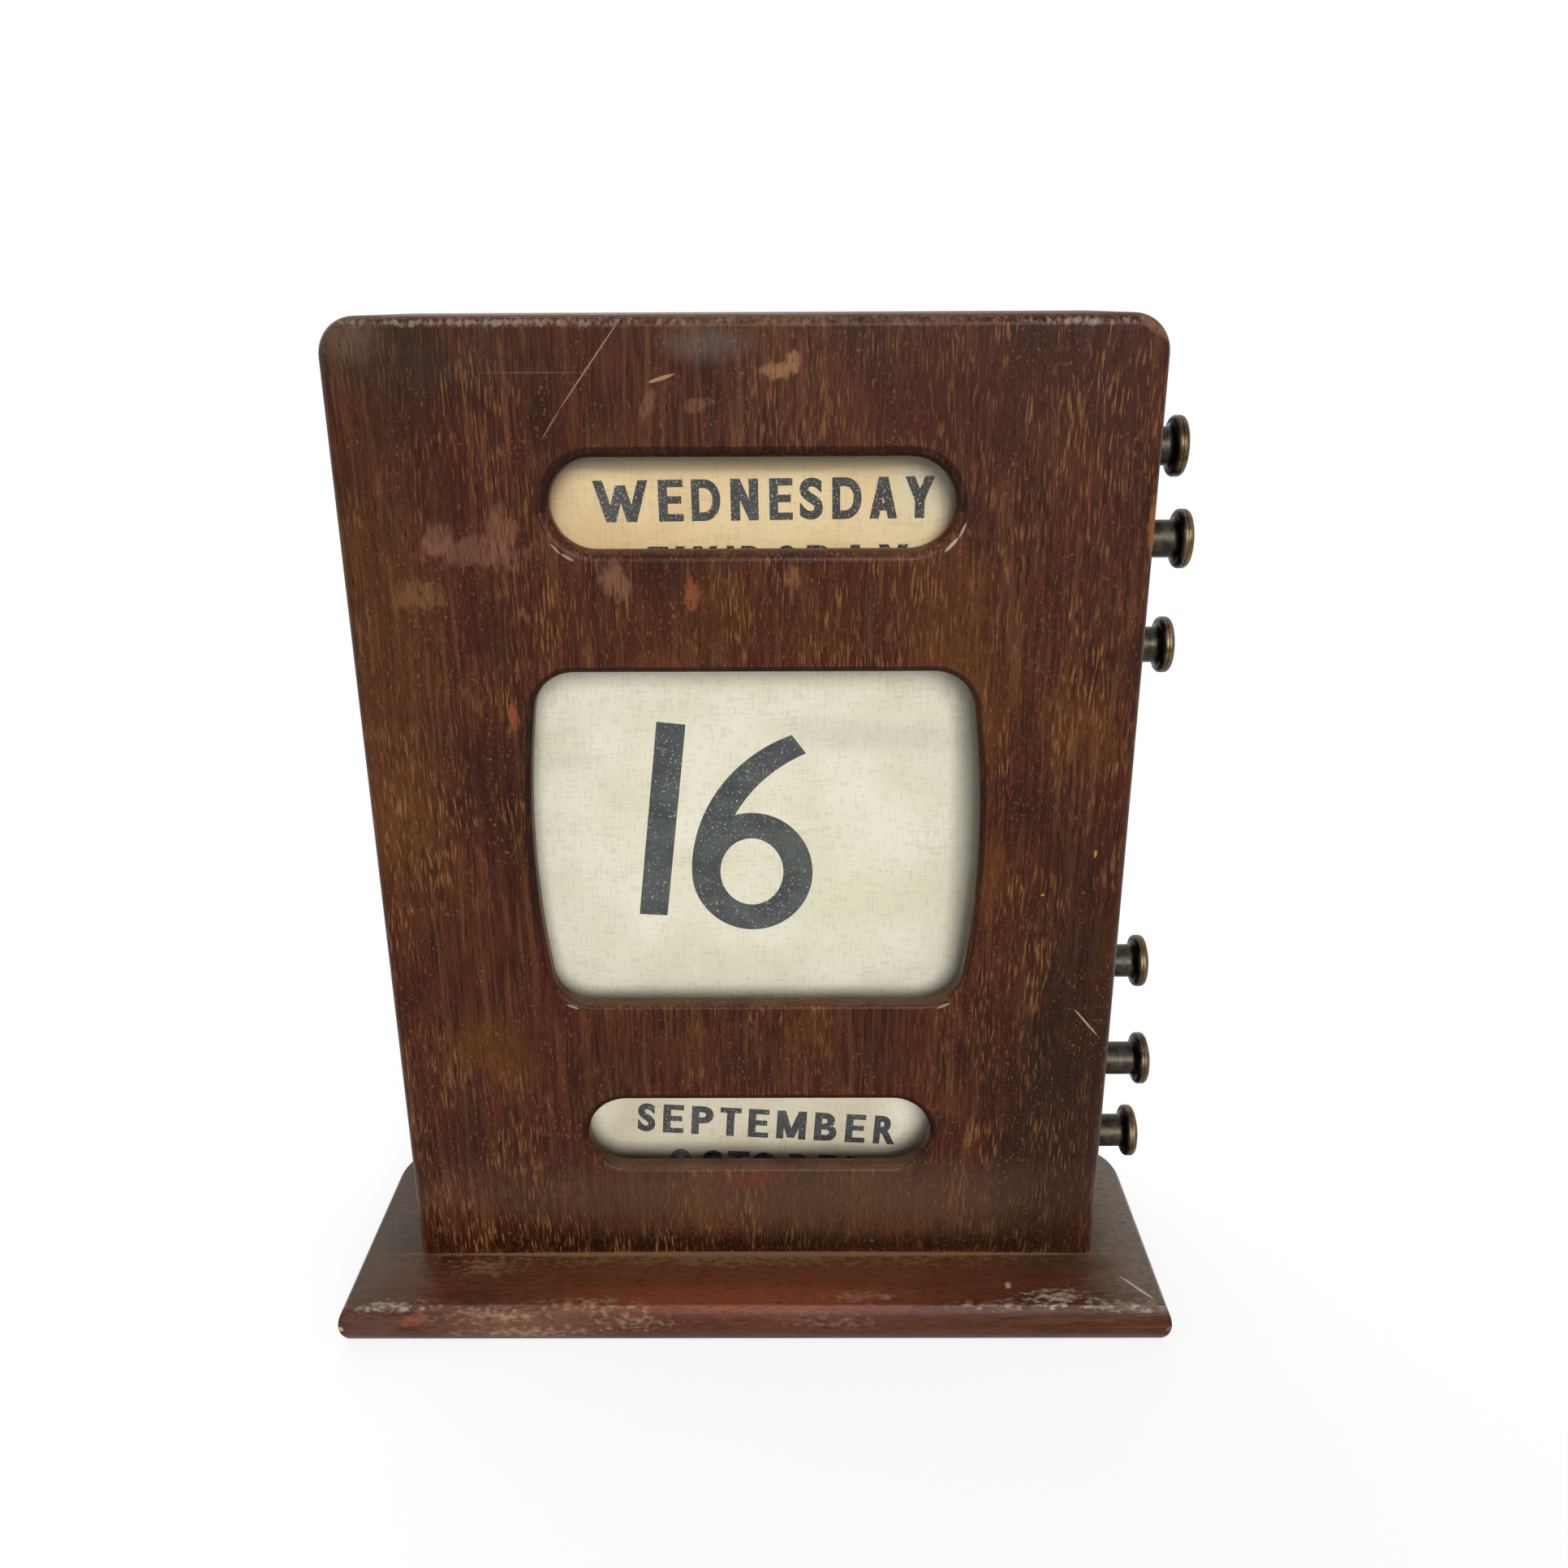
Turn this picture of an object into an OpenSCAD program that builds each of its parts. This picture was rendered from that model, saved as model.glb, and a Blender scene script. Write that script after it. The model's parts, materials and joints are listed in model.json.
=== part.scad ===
// Perpetual desk calendar: an upright wooden case on a moulded base, with three glazed
// windows for the weekday, the date and the month. Behind each window a printed cloth
// runs between an upper and a lower wooden roller. Each roller turns on a brass rod that
// comes out through the right side as a small knob.
// Axes: +X to the knobs, +Y to the back, +Z up. The origin is the middle of the base's underside.

/* [Base board] */
// How far the base stands out in front of the case
base_front = 17.2; // [10:0.1:30]
// How far it stands out on each side of the case
base_side = 14.05; // [8:0.05:30]
// How far it stands out behind the case
base_back = 1; // [0:0.1:20]
// Thickness of the board
base_t = 9.5; // [8:0.1:12]
// Radius of the two back corners in plan
base_corner_r = 12.5; // [10:0.5:20]
// Width of the shallow bevel round the top
bevel_w = 7; // [3:0.5:8.5]
// Fall of the bevel from the flat top to the arris
bevel_drop = 0.8; // [0.2:0.1:2]
// Radius of the swelling edge in section
edge_r = 7.2; // [6:0.1:10]
// Height of the edge's fullest line above the underside
swell_z = 4.275; // [3.5:0.025:5.5]

/* [Case] */
// Width of the case
case_w = 152.4; // [126:0.1:200]
// Depth of the case
case_d = 42.8; // [42.4:0.1:60]
// Radius of the two top corners
corner_r = 7; // [4:0.5:7.5]
// Radius of the round-over along the front edges
arris_r = 2.2; // [1:0.1:3]
// Thickness of the front board
front_t = 6.4; // [5.3:0.1:8]
// Thickness of each side board
side_t = 7.5; // [6:0.1:10]
// Thickness of the top board
top_t = 8; // [7.5:0.1:12]
// Thickness of the bottom board
bottom_t = 6.4; // [5:0.1:8]
// Thickness of the back board
back_t = 4; // [3:0.1:4]

/* [Windows] */
// Height of the foot rail, from the base to the month window
foot_rail = 23.3; // [18:0.1:40]
// Height of the rail between the month window and the date window
low_rail = 23.4; // [20:0.1:40]
// Height of the rail between the date window and the weekday window
high_rail = 23.4; // [20:0.1:40]
// Height of the top rail, from the weekday window to the top of the case
top_rail = 24.8; // [18:0.1:40]
// Sideways place of the three windows from the middle of the case
window_x = 1.15; // [-4:0.05:4]
// Width of the weekday window
day_w = 75.6; // [60:0.1:90]
// Height of the weekday window
day_h = 17; // [15:0.1:24]
// Radius of the round-over at the weekday window's mouth
day_lip = 2.1; // [0.5:0.1:2.4]
// Width of the date window at its middle
date_w = 90; // [70:0.1:108]
// Height of the date window
date_h = 72.4; // [60:0.1:90]
// Radius of the date window's corners
date_r = 8.2; // [5:0.1:12]
// Radius of the date window's bowed sides
date_side_r = 205.2; // [150:0.1:600]
// Radius of the round-over at the date window's mouth
date_lip = 1.2; // [0.5:0.1:2.4]
// Width of the month window
month_w = 74.8; // [60:0.1:90]
// Height of the month window
month_h = 17.2; // [15:0.1:24]
// Radius of the round-over at the month window's mouth
month_lip = 1.5; // [0.5:0.1:2.4]

/* [Glass] */
// Thickness of each pane
glass_t = 3; // [2:0.1:3.6]
// How far the rebate reaches past the window on each side
rebate = 4; // [3:0.1:5]

/* [Rollers and knobs] */
// Diameter of the wooden rollers
roller_d = 12.7; // [11:0.1:15.3]
// Diameter of the brass knob rods
rod_d = 7.4; // [5:0.1:9]
// Length of a rod from the knob's cove to its inner end
rod_l = 30; // [25:0.5:40]
// Diameter of the knob heads
head_d = 11.65; // [10:0.05:14]
// Thickness of a knob's rim
rim_t = 2.6; // [1.5:0.1:3]
// Height of the dome on a knob's face
dome_h = 0.9; // [0.3:0.1:1.2]
// Length of the cove between rod and head
cove_l = 1.1; // [0.6:0.1:2]
// Diameter of the steel pins at the left ends
pin_d = 4; // [3:0.1:5]
// Length of a pin
pin_l = 16; // [12:0.5:20]
// Length of a pin that turns in the left side
pin_in_side = 5; // [3:0.1:5.5]
// Depth of the weekday rollers' axes behind the front face
day_axis = 17; // [16.5:0.1:20]
// Depth of the date rollers' axes behind the front face
date_axis = 24; // [22:0.1:27]
// Depth of the month rollers' axes behind the front face
month_axis = 20; // [17:0.1:20.5]

/* [Cloth] */
// Space between a cloth's edge and the case's side, with the cloth in the middle of the case
cloth_side = 7.7; // [6:0.1:20]
// Thickness of the cloth
cloth_t = 0.25; // [0.15:0.01:0.3]
// Pitch of the weekday rows
day_pitch = 13.1; // [10:0.1:14]
// Pitch of the month rows
month_pitch = 11.8; // [9:0.1:13]
// Pitch of the date numbers
date_pitch = 68; // [56:0.1:82]
// Blank cloth past the first and last row, for fixing to the rollers
leader = 60; // [30:1:70]

/* [Fits] */
// Clearance on the radius where a rod or pin turns in the case
run_gap = 0.08; // [0.04:0.01:0.1]
// Clearance on the radius of glued or driven joints
glue_gap = 0.02; // [0.01:0.01:0.04]
// Clearance of a pane in its rebate and of a screw in its hole
seat_gap = 0.2; // [0.1:0.05:0.4]
// Clearance on the radius of a rod in its washer
washer_bore_gap = 0.3; // [0.1:0.05:0.5]
// Clearance of the stretched cloth from the cloth wound on the rollers
cloth_gap = 0.3; // [0.2:0.05:0.4]
// Thickness of the felt washers between rollers and right side
washer_t = 1.5; // [1:0.1:2]
// Space between the rollers and the left side
end_play = 0.8; // [0.4:0.1:1.2]
// Space between the rollers and the washers
washer_gap = 0.1; // [0.05:0.01:0.3]

/* [Screws] */
// Diameter of the screws that hold the case to the base
base_screw_d = 3.5; // [3:0.1:4]
// Wood left above the tips of those screws
base_screw_cover = 1.7; // [0.5:0.1:3]
// Diameter of the screws that hold the back
back_screw_d = 2.2; // [1.8:0.1:2.6]
// Length of the back's screws
back_screw_l = 12; // [9:0.5:15]

/* [Hidden] */
$fn = 64;

MAHOGANY = "#4a2317";
DEAL = "#b58a55";
BRASS = "#7a6238";
STEEL = "#8a8c90";
LINEN = "#e4dcc0";
FELT = "#5d5a4a";

// the rails and the windows between them make up the height of the case; each window's
// middle is measured from the base
month_z = foot_rail + month_h / 2;
date_z = foot_rail + month_h + low_rail + date_h / 2;
day_z = foot_rail + month_h + low_rail + date_h + high_rail + day_h / 2;
case_h = day_z + day_h / 2 + top_rail;

// the base reaches past the case on every side
base_w = case_w + 2 * base_side;
base_d = base_front + case_d + base_back;

// the case stands on the base, its faces at these places
front_y = base_front - base_d / 2;
box_y = front_y + front_t;
back_y = front_y + case_d - back_t;
inner_x = case_w / 2 - side_t;
pane_y = box_y - glass_t;
overlap = 1;

// each window: width, height, middle above the base, and round-over
DAY = [day_w, day_h, day_z, day_lip];
DATE = [date_w, date_h, date_z, date_lip];
MONTH = [month_w, month_h, month_z, month_lip];

// the six rollers, from the top down: each serves one edge of a window, and its axis lies
// a little above or below that edge
SERVES = [DAY, DAY, DATE, DATE, MONTH, MONTH];
ABOVE_EDGE = [0.15, -0.75, -0.6, -2.05, -1.7, -4.05];
DEPTH = [day_axis, day_axis, date_axis, date_axis, month_axis, month_axis];
function side_of(i) = i % 2 == 0 ? 1 : -1;
function axis_y(i) = front_y + DEPTH[i];
function axis_z(i) = base_t + SERVES[i][2] + side_of(i) * SERVES[i][1] / 2 + ABOVE_EDGE[i];

// the knobs are pushed in by different amounts: the rim's face from the case's side
KNOB_OUT = [8.1, 10.7, 11, 12.1, 13.4, 12.3];
function head_x(i) = case_w / 2 + KNOB_OUT[i] - rim_t;
rim_edge = min(0.9, rim_t / 2 - 0.35);
groove_r = 0.15;
end_gap = 0.5;
bore_x = head_x(0) - rod_l - end_gap;

// rows of cloth that are wound up on each roller at rest, and their pitch: SUNDAY to
// WEDNESDAY above, 1 to 16 of 31 and JANUARY to SEPTEMBER
ROWS = [3, 3, 15, 15, 8, 3];
PITCH = [day_pitch, day_pitch, date_pitch, date_pitch, month_pitch, month_pitch];
function wound_l(i) = ROWS[i] * PITCH[i] + leader;
function wound_r(i) = sqrt(pow(roller_d / 2, 2) + wound_l(i) * cloth_t / PI);

roller_x0 = -inner_x + end_play;
roller_x1 = inner_x - washer_t - washer_gap;
cloth_w = 2 * (inner_x - cloth_side);
base_screw_l = base_t + bottom_t - seat_gap - base_screw_cover;

module mahogany() { color(MAHOGANY) children(); }

// ---- outlines and runs ----

// slab from y0 to y1 whose outline is drawn in x and z
module slab(y0, y1) {
    translate([0, y1, 0]) rotate([90, 0, 0]) linear_extrude(y1 - y0) children();
}

// bar along x whose section is drawn in y and z
module bar(x0, x1) {
    translate([x0, 0, 0]) rotate([90, 0, 90]) linear_extrude(x1 - x0) children();
}

// upright board with round top corners
module board_outline(w, h, r) {
    translate([-w / 2, 0]) square([w, h - r]);
    translate([r - w / 2, 0]) square([w - 2 * r, h]);
    for (s = [-1, 1]) translate([s * (w / 2 - r), h - r]) circle(r);
}

// ---- base ----

// half section of the base: a flat top, a shallow bevel and an edge that swells in one arc
module edge_section(half) {
    arc_x = half - edge_r;
    arris_x = arc_x + sqrt(pow(edge_r, 2) - pow(base_t - bevel_drop - swell_z, 2));
    bevel_x = arris_x - bevel_w;
    intersection() {
        polygon([
            [0, 0], [half, 0],
            [half, base_t - bevel_drop * (half - bevel_x) / bevel_w],
            [bevel_x, base_t], [0, base_t]
        ]);
        union() {
            square([arc_x, base_t]);
            translate([arc_x, swell_z]) circle(edge_r);
        }
    }
}

module base() {
    xc = base_w / 2 - base_corner_r;
    yc = base_d / 2 - base_corner_r;
    mahogany() difference() {
        union() {
            // front part, its moulding mitred at the two front corners
            intersection() {
                slab(-base_d / 2 - overlap, yc) {
                    edge_section(base_w / 2);
                    mirror([1, 0]) edge_section(base_w / 2);
                }
                translate([0, yc, 0]) bar(-base_w, base_w)
                    mirror([1, 0]) edge_section(yc + base_d / 2);
            }
            // back edge between the round corners
            translate([0, yc - overlap, 0]) bar(-xc, xc)
                edge_section(base_corner_r + overlap);
            for (s = [-1, 1]) translate([s * xc, yc, 0])
                rotate_extrude() edge_section(base_corner_r);
        }
        at_base_screws() screw_hole(base_screw_d, base_t);
    }
}

// ---- screws ----

// a countersunk head is twice as wide as its shank
head_l = 0.6;
tip_d = 0.4;

// countersunk screw along +z, its flat head at the origin
module screw(d, l) {
    cylinder(r1 = d, r2 = d / 2, h = head_l * d);
    cylinder(d = d, h = l - d);
    translate([0, 0, l - d]) cylinder(d1 = d, d2 = tip_d, h = d);
}

// countersunk hole for such a screw through a board of thickness t
module screw_hole(d, t) {
    translate([0, 0, -overlap]) cylinder(r = d + seat_gap, h = overlap + seat_gap);
    translate([0, 0, seat_gap]) cylinder(r1 = d + seat_gap, r2 = d / 2 + seat_gap, h = head_l * d);
    translate([0, 0, -overlap]) cylinder(r = d / 2 + seat_gap, h = t + 2 * overlap);
}

// the base's screws stand in from the inside faces of the case
base_screw_in = [14, 7];

module at_base_screws() {
    middle_y = (box_y + back_y) / 2;
    reach_y = (back_y - box_y) / 2 - base_screw_in[1];
    for (sx = [-1, 1], sy = [-1, 1])
        translate([sx * (inner_x - base_screw_in[0]), middle_y + sy * reach_y, 0]) children();
}

// the back's screws: three up the middle of each side's edge
back_screw_foot = 10;
back_screw_top = 16;

module at_back_screws() {
    for (sx = [-1, 1], z = [back_screw_foot, case_h / 2, case_h - back_screw_top])
        translate([sx * (case_w / 2 - side_t / 2), back_y + back_t, base_t + z])
            rotate([90, 0, 0]) children();
}

// pilot holes that the screws have cut for themselves
module pilot(d, l) { cylinder(d = d + 2 * glue_gap, h = l + seat_gap + glue_gap); }

module base_screws() {
    color(STEEL) at_base_screws() translate([0, 0, seat_gap]) screw(base_screw_d, base_screw_l);
}

module back_screws() {
    color(BRASS) at_back_screws() translate([0, 0, seat_gap]) screw(back_screw_d, back_screw_l);
}

// ---- front board ----

// half section through a window's edge, as a cutter: a plain wall at r from the axis, from
// inner outwards, that flares into a round-over at the mouth
module lip_section(r, lip, inner = 0) {
    translate([inner, -overlap]) square([r - inner, front_t + 2 * overlap]);
    difference() {
        translate([inner, -overlap]) square([r + lip - inner, overlap + lip]);
        translate([r + lip, lip]) circle(lip);
    }
}

// that section turned about an axis along y
module lip_turn(r, lip, inner = 0, fn = $fn) {
    rotate([-90, 0, 0]) rotate_extrude($fn = fn) lip_section(r, lip, inner);
}

// that section run along x, above and below the axis
module lip_run(l, r, lip) {
    bar(-l / 2, l / 2) for (m = [0, 1]) mirror([0, m]) mirror([1, -1]) lip_section(r, lip);
}

// window with straight top and bottom and round ends
module stadium_window(window) {
    run = window[0] - window[1];
    for (s = [-1, 1]) translate([s * run / 2, 0, 0]) lip_turn(window[1] / 2, window[3]);
    lip_run(run, window[1] / 2, window[3]);
}

// window with straight top and bottom, bowed sides, and round corners that flow into both:
// side and corner meet on the line through both their centres
module bowed_window(window) {
    half_w = window[0] / 2;
    side = [half_w - date_side_r, 0];
    corner_z = window[1] / 2 - date_r;
    corner_x = side[0] + sqrt(pow(date_side_r - date_r, 2) - pow(corner_z, 2));
    corner = [corner_x, corner_z];
    far = 2 * corner - side;
    lip_run(2 * corner_x, window[1] / 2, window[3]);
    for (mx = [0, 1]) mirror([mx, 0, 0]) {
        intersection() {
            translate([side[0], 0, 0]) lip_turn(date_side_r, window[3], date_side_r - half_w, 360);
            slab(-overlap, front_t + overlap) polygon([side, far, [far[0], -far[1]]]);
        }
        for (mz = [0, 1]) mirror([0, 0, mz]) intersection() {
            translate([corner_x, 0, corner_z]) lip_turn(date_r, window[3]);
            slab(-overlap, front_t + overlap) polygon([corner, far, [corner_x, far[1]]]);
        }
    }
}

module at_window(window) { translate([window_x, front_y, base_t + window[2]]) children(); }

module pane_outline(window, gap) {
    w = window[0] + 2 * (rebate - gap);
    h = window[1] + 2 * (rebate - gap);
    translate([window_x - w / 2, base_t + window[2] - h / 2]) square([w, h]);
}

// section of the cutter for the round-over: the board's corner at the origin, its side
// towards +x and its front towards -y
module arris_section() {
    difference() {
        translate([-arris_r, -overlap]) square(arris_r + overlap);
        translate([-arris_r, arris_r]) circle(arris_r);
    }
}

// round-over along both sides, the top and the two corners
module arris_cut() {
    for (m = [0, 1]) mirror([m, 0, 0]) {
        translate([case_w / 2, front_y, base_t - overlap])
            linear_extrude(case_h - corner_r + overlap) arris_section();
        translate([case_w / 2 - corner_r, front_y, base_t + case_h - corner_r]) intersection() {
            rotate([0, 180, 0]) rotate([-90, 0, 0])
                rotate_extrude() translate([corner_r, 0]) arris_section();
            translate([0, -overlap, 0]) cube(corner_r + 2 * overlap);
        }
    }
    translate([0, front_y, base_t + case_h]) bar(corner_r - case_w / 2, case_w / 2 - corner_r)
        mirror([1, -1]) arris_section();
}

module front_panel() {
    mahogany() difference() {
        translate([0, 0, base_t]) slab(front_y, box_y) board_outline(case_w, case_h, corner_r);
        arris_cut();
        at_window(DAY) stadium_window(DAY);
        at_window(DATE) bowed_window(DATE);
        at_window(MONTH) stadium_window(MONTH);
        for (window = [DAY, DATE, MONTH]) slab(pane_y, box_y + overlap) pane_outline(window, 0);
    }
}

module pane(window) {
    color("#c9d6d2", 0.35) slab(pane_y, box_y) pane_outline(window, seat_gap);
}

module glass_day() { pane(DAY); }
module glass_date() { pane(DATE); }
module glass_month() { pane(MONTH); }

// ---- rest of the case ----

// along +x from x on a roller's axis
module at_axis(i, x) { translate([x, axis_y(i), axis_z(i)]) rotate([0, 90, 0]) children(); }

module side_board(s) {
    translate([s > 0 ? inner_x : -case_w / 2, box_y, base_t])
        cube([side_t, back_y - box_y, case_h - top_t]);
}

module left_side() {
    mahogany() difference() {
        side_board(-1);
        for (i = [0 : 5]) at_axis(i, -inner_x - pin_in_side - end_gap)
            cylinder(r = pin_d / 2 + run_gap, h = pin_in_side + end_gap + overlap);
        at_back_screws() pilot(back_screw_d, back_screw_l);
    }
}

module right_side() {
    mahogany() difference() {
        side_board(1);
        for (i = [0 : 5]) at_axis(i, inner_x - overlap)
            cylinder(r = rod_d / 2 + run_gap, h = side_t + 2 * overlap);
        at_back_screws() pilot(back_screw_d, back_screw_l);
    }
}

module top_panel() {
    mahogany() translate([0, 0, base_t]) slab(box_y, back_y) intersection() {
        board_outline(case_w, case_h, corner_r);
        translate([-case_w / 2, case_h - top_t]) square([case_w, top_t]);
    }
}

module bottom_panel() {
    color(DEAL) difference() {
        translate([-inner_x, box_y, base_t]) cube([2 * inner_x, back_y - box_y, bottom_t]);
        at_base_screws() pilot(base_screw_d, base_screw_l);
    }
}

module back_panel() {
    mahogany() difference() {
        translate([0, 0, base_t]) slab(back_y, back_y + back_t)
            board_outline(case_w, case_h, corner_r);
        at_back_screws() screw_hole(back_screw_d, back_t);
    }
}

// ---- rollers, knobs and cloths ----

module roller(i) {
    color(DEAL) difference() {
        at_axis(i, roller_x0) cylinder(d = roller_d, h = roller_x1 - roller_x0);
        at_axis(i, bore_x) cylinder(r = rod_d / 2 + glue_gap, h = roller_x1 - bore_x + overlap);
        at_axis(i, roller_x0 - overlap)
            cylinder(r = pin_d / 2 + glue_gap, h = pin_l - pin_in_side + overlap);
    }
}

// half section of a knob along its axis, the back of its head at 0: plain rod, hollow cove,
// rim with rounded edges and a fine turned line, and a low dome
module knob_section() {
    rod_r = rod_d / 2;
    flat_r = head_d / 2 - rim_edge;
    cove_r = min(cove_l, flat_r - rod_r);
    dome_r = (pow(flat_r, 2) + pow(dome_h, 2)) / (2 * dome_h);
    translate([0, -rod_l]) square([rod_r, rod_l]);
    difference() {
        translate([0, -cove_r]) square([rod_r + cove_r, cove_r]);
        translate([rod_r + cove_r, -cove_r]) circle(cove_r);
    }
    difference() {
        union() {
            square([flat_r, rim_t]);
            translate([0, rim_edge]) square([head_d / 2, rim_t - 2 * rim_edge]);
            for (y = [rim_edge, rim_t - rim_edge]) translate([flat_r, y]) circle(rim_edge);
        }
        translate([head_d / 2, rim_t / 2]) circle(groove_r);
    }
    translate([0, rim_t]) intersection() {
        square([flat_r, dome_h]);
        translate([0, dome_h - dome_r]) circle(dome_r);
    }
}

module knob(i) {
    color(BRASS) translate([head_x(i), axis_y(i), axis_z(i)])
        rotate([90, 0, 90]) rotate_extrude() knob_section();
}

module pin(i) {
    color(STEEL) at_axis(i, -inner_x - pin_in_side) cylinder(d = pin_d, h = pin_l);
}

module friction_washers() {
    color(FELT) for (i = [0 : 5]) at_axis(i, inner_x - washer_t) difference() {
        cylinder(d = roller_d, h = washer_t);
        translate([0, 0, -overlap]) cylinder(r = rod_d / 2 + washer_bore_gap, h = washer_t + 2 * overlap);
    }
}

// cloth wound on a roller
module wound(i) {
    color(LINEN) at_axis(i, window_x - cloth_w / 2) difference() {
        cylinder(r = wound_r(i), h = cloth_w);
        translate([0, 0, -overlap])
            cylinder(r = roller_d / 2 + glue_gap, h = cloth_w + 2 * overlap);
    }
}

// part of a ring about an axis, for the cloth that runs on to a roller from the front
wrap_angle = 70;

module wrap_section(i, up) {
    inner = wound_r(i) + cloth_gap;
    reach = 3 * inner;
    translate([axis_y(i), axis_z(i)]) intersection() {
        difference() {
            circle(inner + cloth_t);
            circle(inner);
        }
        polygon([
            [0, 0], [-reach, 0],
            [-reach, up * reach * tan(wrap_angle / 2)],
            [-reach * cos(wrap_angle), up * reach * sin(wrap_angle)]
        ]);
    }
}

// cloth stretched between two rollers, one above the other, across their front
module cloth(upper, lower) {
    y_top = axis_y(upper) - wound_r(upper) - cloth_gap;
    y_foot = axis_y(lower) - wound_r(lower) - cloth_gap;
    color(LINEN) translate([window_x, 0, 0]) bar(-cloth_w / 2, cloth_w / 2) {
        wrap_section(upper, 1);
        wrap_section(lower, -1);
        polygon([
            [y_top, axis_z(upper)], [y_top - cloth_t, axis_z(upper)],
            [y_foot - cloth_t, axis_z(lower)], [y_foot, axis_z(lower)]
        ]);
    }
}

module roller_day_upper() { roller(0); }
module roller_day_lower() { roller(1); }
module roller_date_upper() { roller(2); }
module roller_date_lower() { roller(3); }
module roller_month_upper() { roller(4); }
module roller_month_lower() { roller(5); }

module knob_day_upper() { knob(0); }
module knob_day_lower() { knob(1); }
module knob_date_upper() { knob(2); }
module knob_date_lower() { knob(3); }
module knob_month_upper() { knob(4); }
module knob_month_lower() { knob(5); }

module pin_day_upper() { pin(0); }
module pin_day_lower() { pin(1); }
module pin_date_upper() { pin(2); }
module pin_date_lower() { pin(3); }
module pin_month_upper() { pin(4); }
module pin_month_lower() { pin(5); }

module wound_day_upper() { wound(0); }
module wound_day_lower() { wound(1); }
module wound_date_upper() { wound(2); }
module wound_date_lower() { wound(3); }
module wound_month_upper() { wound(4); }
module wound_month_lower() { wound(5); }

module cloth_day() { cloth(0, 1); }
module cloth_date() { cloth(2, 3); }
module cloth_month() { cloth(4, 5); }

// ---- nodes ----

base();
front_panel();
left_side();
right_side();
top_panel();
bottom_panel();
back_panel();
glass_day();
glass_date();
glass_month();
friction_washers();
base_screws();
back_screws();
cloth_day();
cloth_date();
cloth_month();
roller_day_upper();
roller_day_lower();
roller_date_upper();
roller_date_lower();
roller_month_upper();
roller_month_lower();
knob_day_upper();
knob_day_lower();
knob_date_upper();
knob_date_lower();
knob_month_upper();
knob_month_lower();
pin_day_upper();
pin_day_lower();
pin_date_upper();
pin_date_lower();
pin_month_upper();
pin_month_lower();
wound_day_upper();
wound_day_lower();
wound_date_upper();
wound_date_lower();
wound_month_upper();
wound_month_lower();
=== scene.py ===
"""Looks of a perpetual desk calendar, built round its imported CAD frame.

A mahogany case on a moulded base shows the weekday, the date and the month through three
glazed windows. Behind each window a printed linen cloth is stretched between two rollers,
and each roller ends in a small aged brass knob on the right-hand side.

Sizes in the classes are in millimetres, in the frame of the CAD model: +X to the knobs,
+Y to the back, +Z up, with the origin in the middle of the base's underside.
"""

from __future__ import annotations

import json
import logging
import math
from collections.abc import Iterable, Sequence
from dataclasses import dataclass, field
from enum import Enum

import bpy
from mathutils import Matrix, Vector

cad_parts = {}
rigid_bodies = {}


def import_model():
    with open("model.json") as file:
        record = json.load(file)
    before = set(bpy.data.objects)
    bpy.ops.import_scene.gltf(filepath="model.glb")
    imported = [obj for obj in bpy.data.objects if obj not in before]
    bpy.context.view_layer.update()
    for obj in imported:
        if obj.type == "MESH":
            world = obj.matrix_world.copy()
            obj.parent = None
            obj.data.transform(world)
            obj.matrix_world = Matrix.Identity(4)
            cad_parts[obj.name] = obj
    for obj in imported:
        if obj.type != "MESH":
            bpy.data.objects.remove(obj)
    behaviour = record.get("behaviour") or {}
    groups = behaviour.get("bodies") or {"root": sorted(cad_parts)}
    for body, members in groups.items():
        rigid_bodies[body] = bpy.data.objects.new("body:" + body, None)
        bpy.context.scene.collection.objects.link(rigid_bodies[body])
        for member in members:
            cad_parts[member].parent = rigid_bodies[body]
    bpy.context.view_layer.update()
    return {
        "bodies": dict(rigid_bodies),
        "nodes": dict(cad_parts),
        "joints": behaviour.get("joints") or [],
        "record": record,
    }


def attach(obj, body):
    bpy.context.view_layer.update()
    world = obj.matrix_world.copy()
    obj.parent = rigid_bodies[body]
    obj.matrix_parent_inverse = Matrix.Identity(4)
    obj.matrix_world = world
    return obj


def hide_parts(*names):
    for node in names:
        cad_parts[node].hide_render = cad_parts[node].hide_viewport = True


MM = 0.001
MERGE = 0.002 * MM
# faces this near to the furthest one, in millimetres, belong to the same end
END_T = 0.02
# how far a cutting tool reaches past what it cuts
PAST = 1.0
Point = tuple[float, float]
Triple = tuple[float, float, float]
Piece = bpy.types.Object
Material = bpy.types.Material
Socket = bpy.types.NodeSocket
Input = Socket | Sequence[float] | float | str
log = logging.getLogger("calendar")


# ---- drawing and shaping ----


def metres(*values: float) -> Vector:
    """Return millimetres as a vector in metres."""
    return Vector(values) * MM


def deselect_all() -> None:
    """Leave object mode and deselect every object."""
    if bpy.context.mode != "OBJECT":
        bpy.ops.object.mode_set(mode="OBJECT")
    bpy.ops.object.select_all(action="DESELECT")


def activate(piece: Piece) -> None:
    """Make a piece the only selected object and the active one.

    Args:
        piece: The piece.
    """
    deselect_all()
    piece.select_set(True)
    bpy.context.view_layer.objects.active = piece


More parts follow.
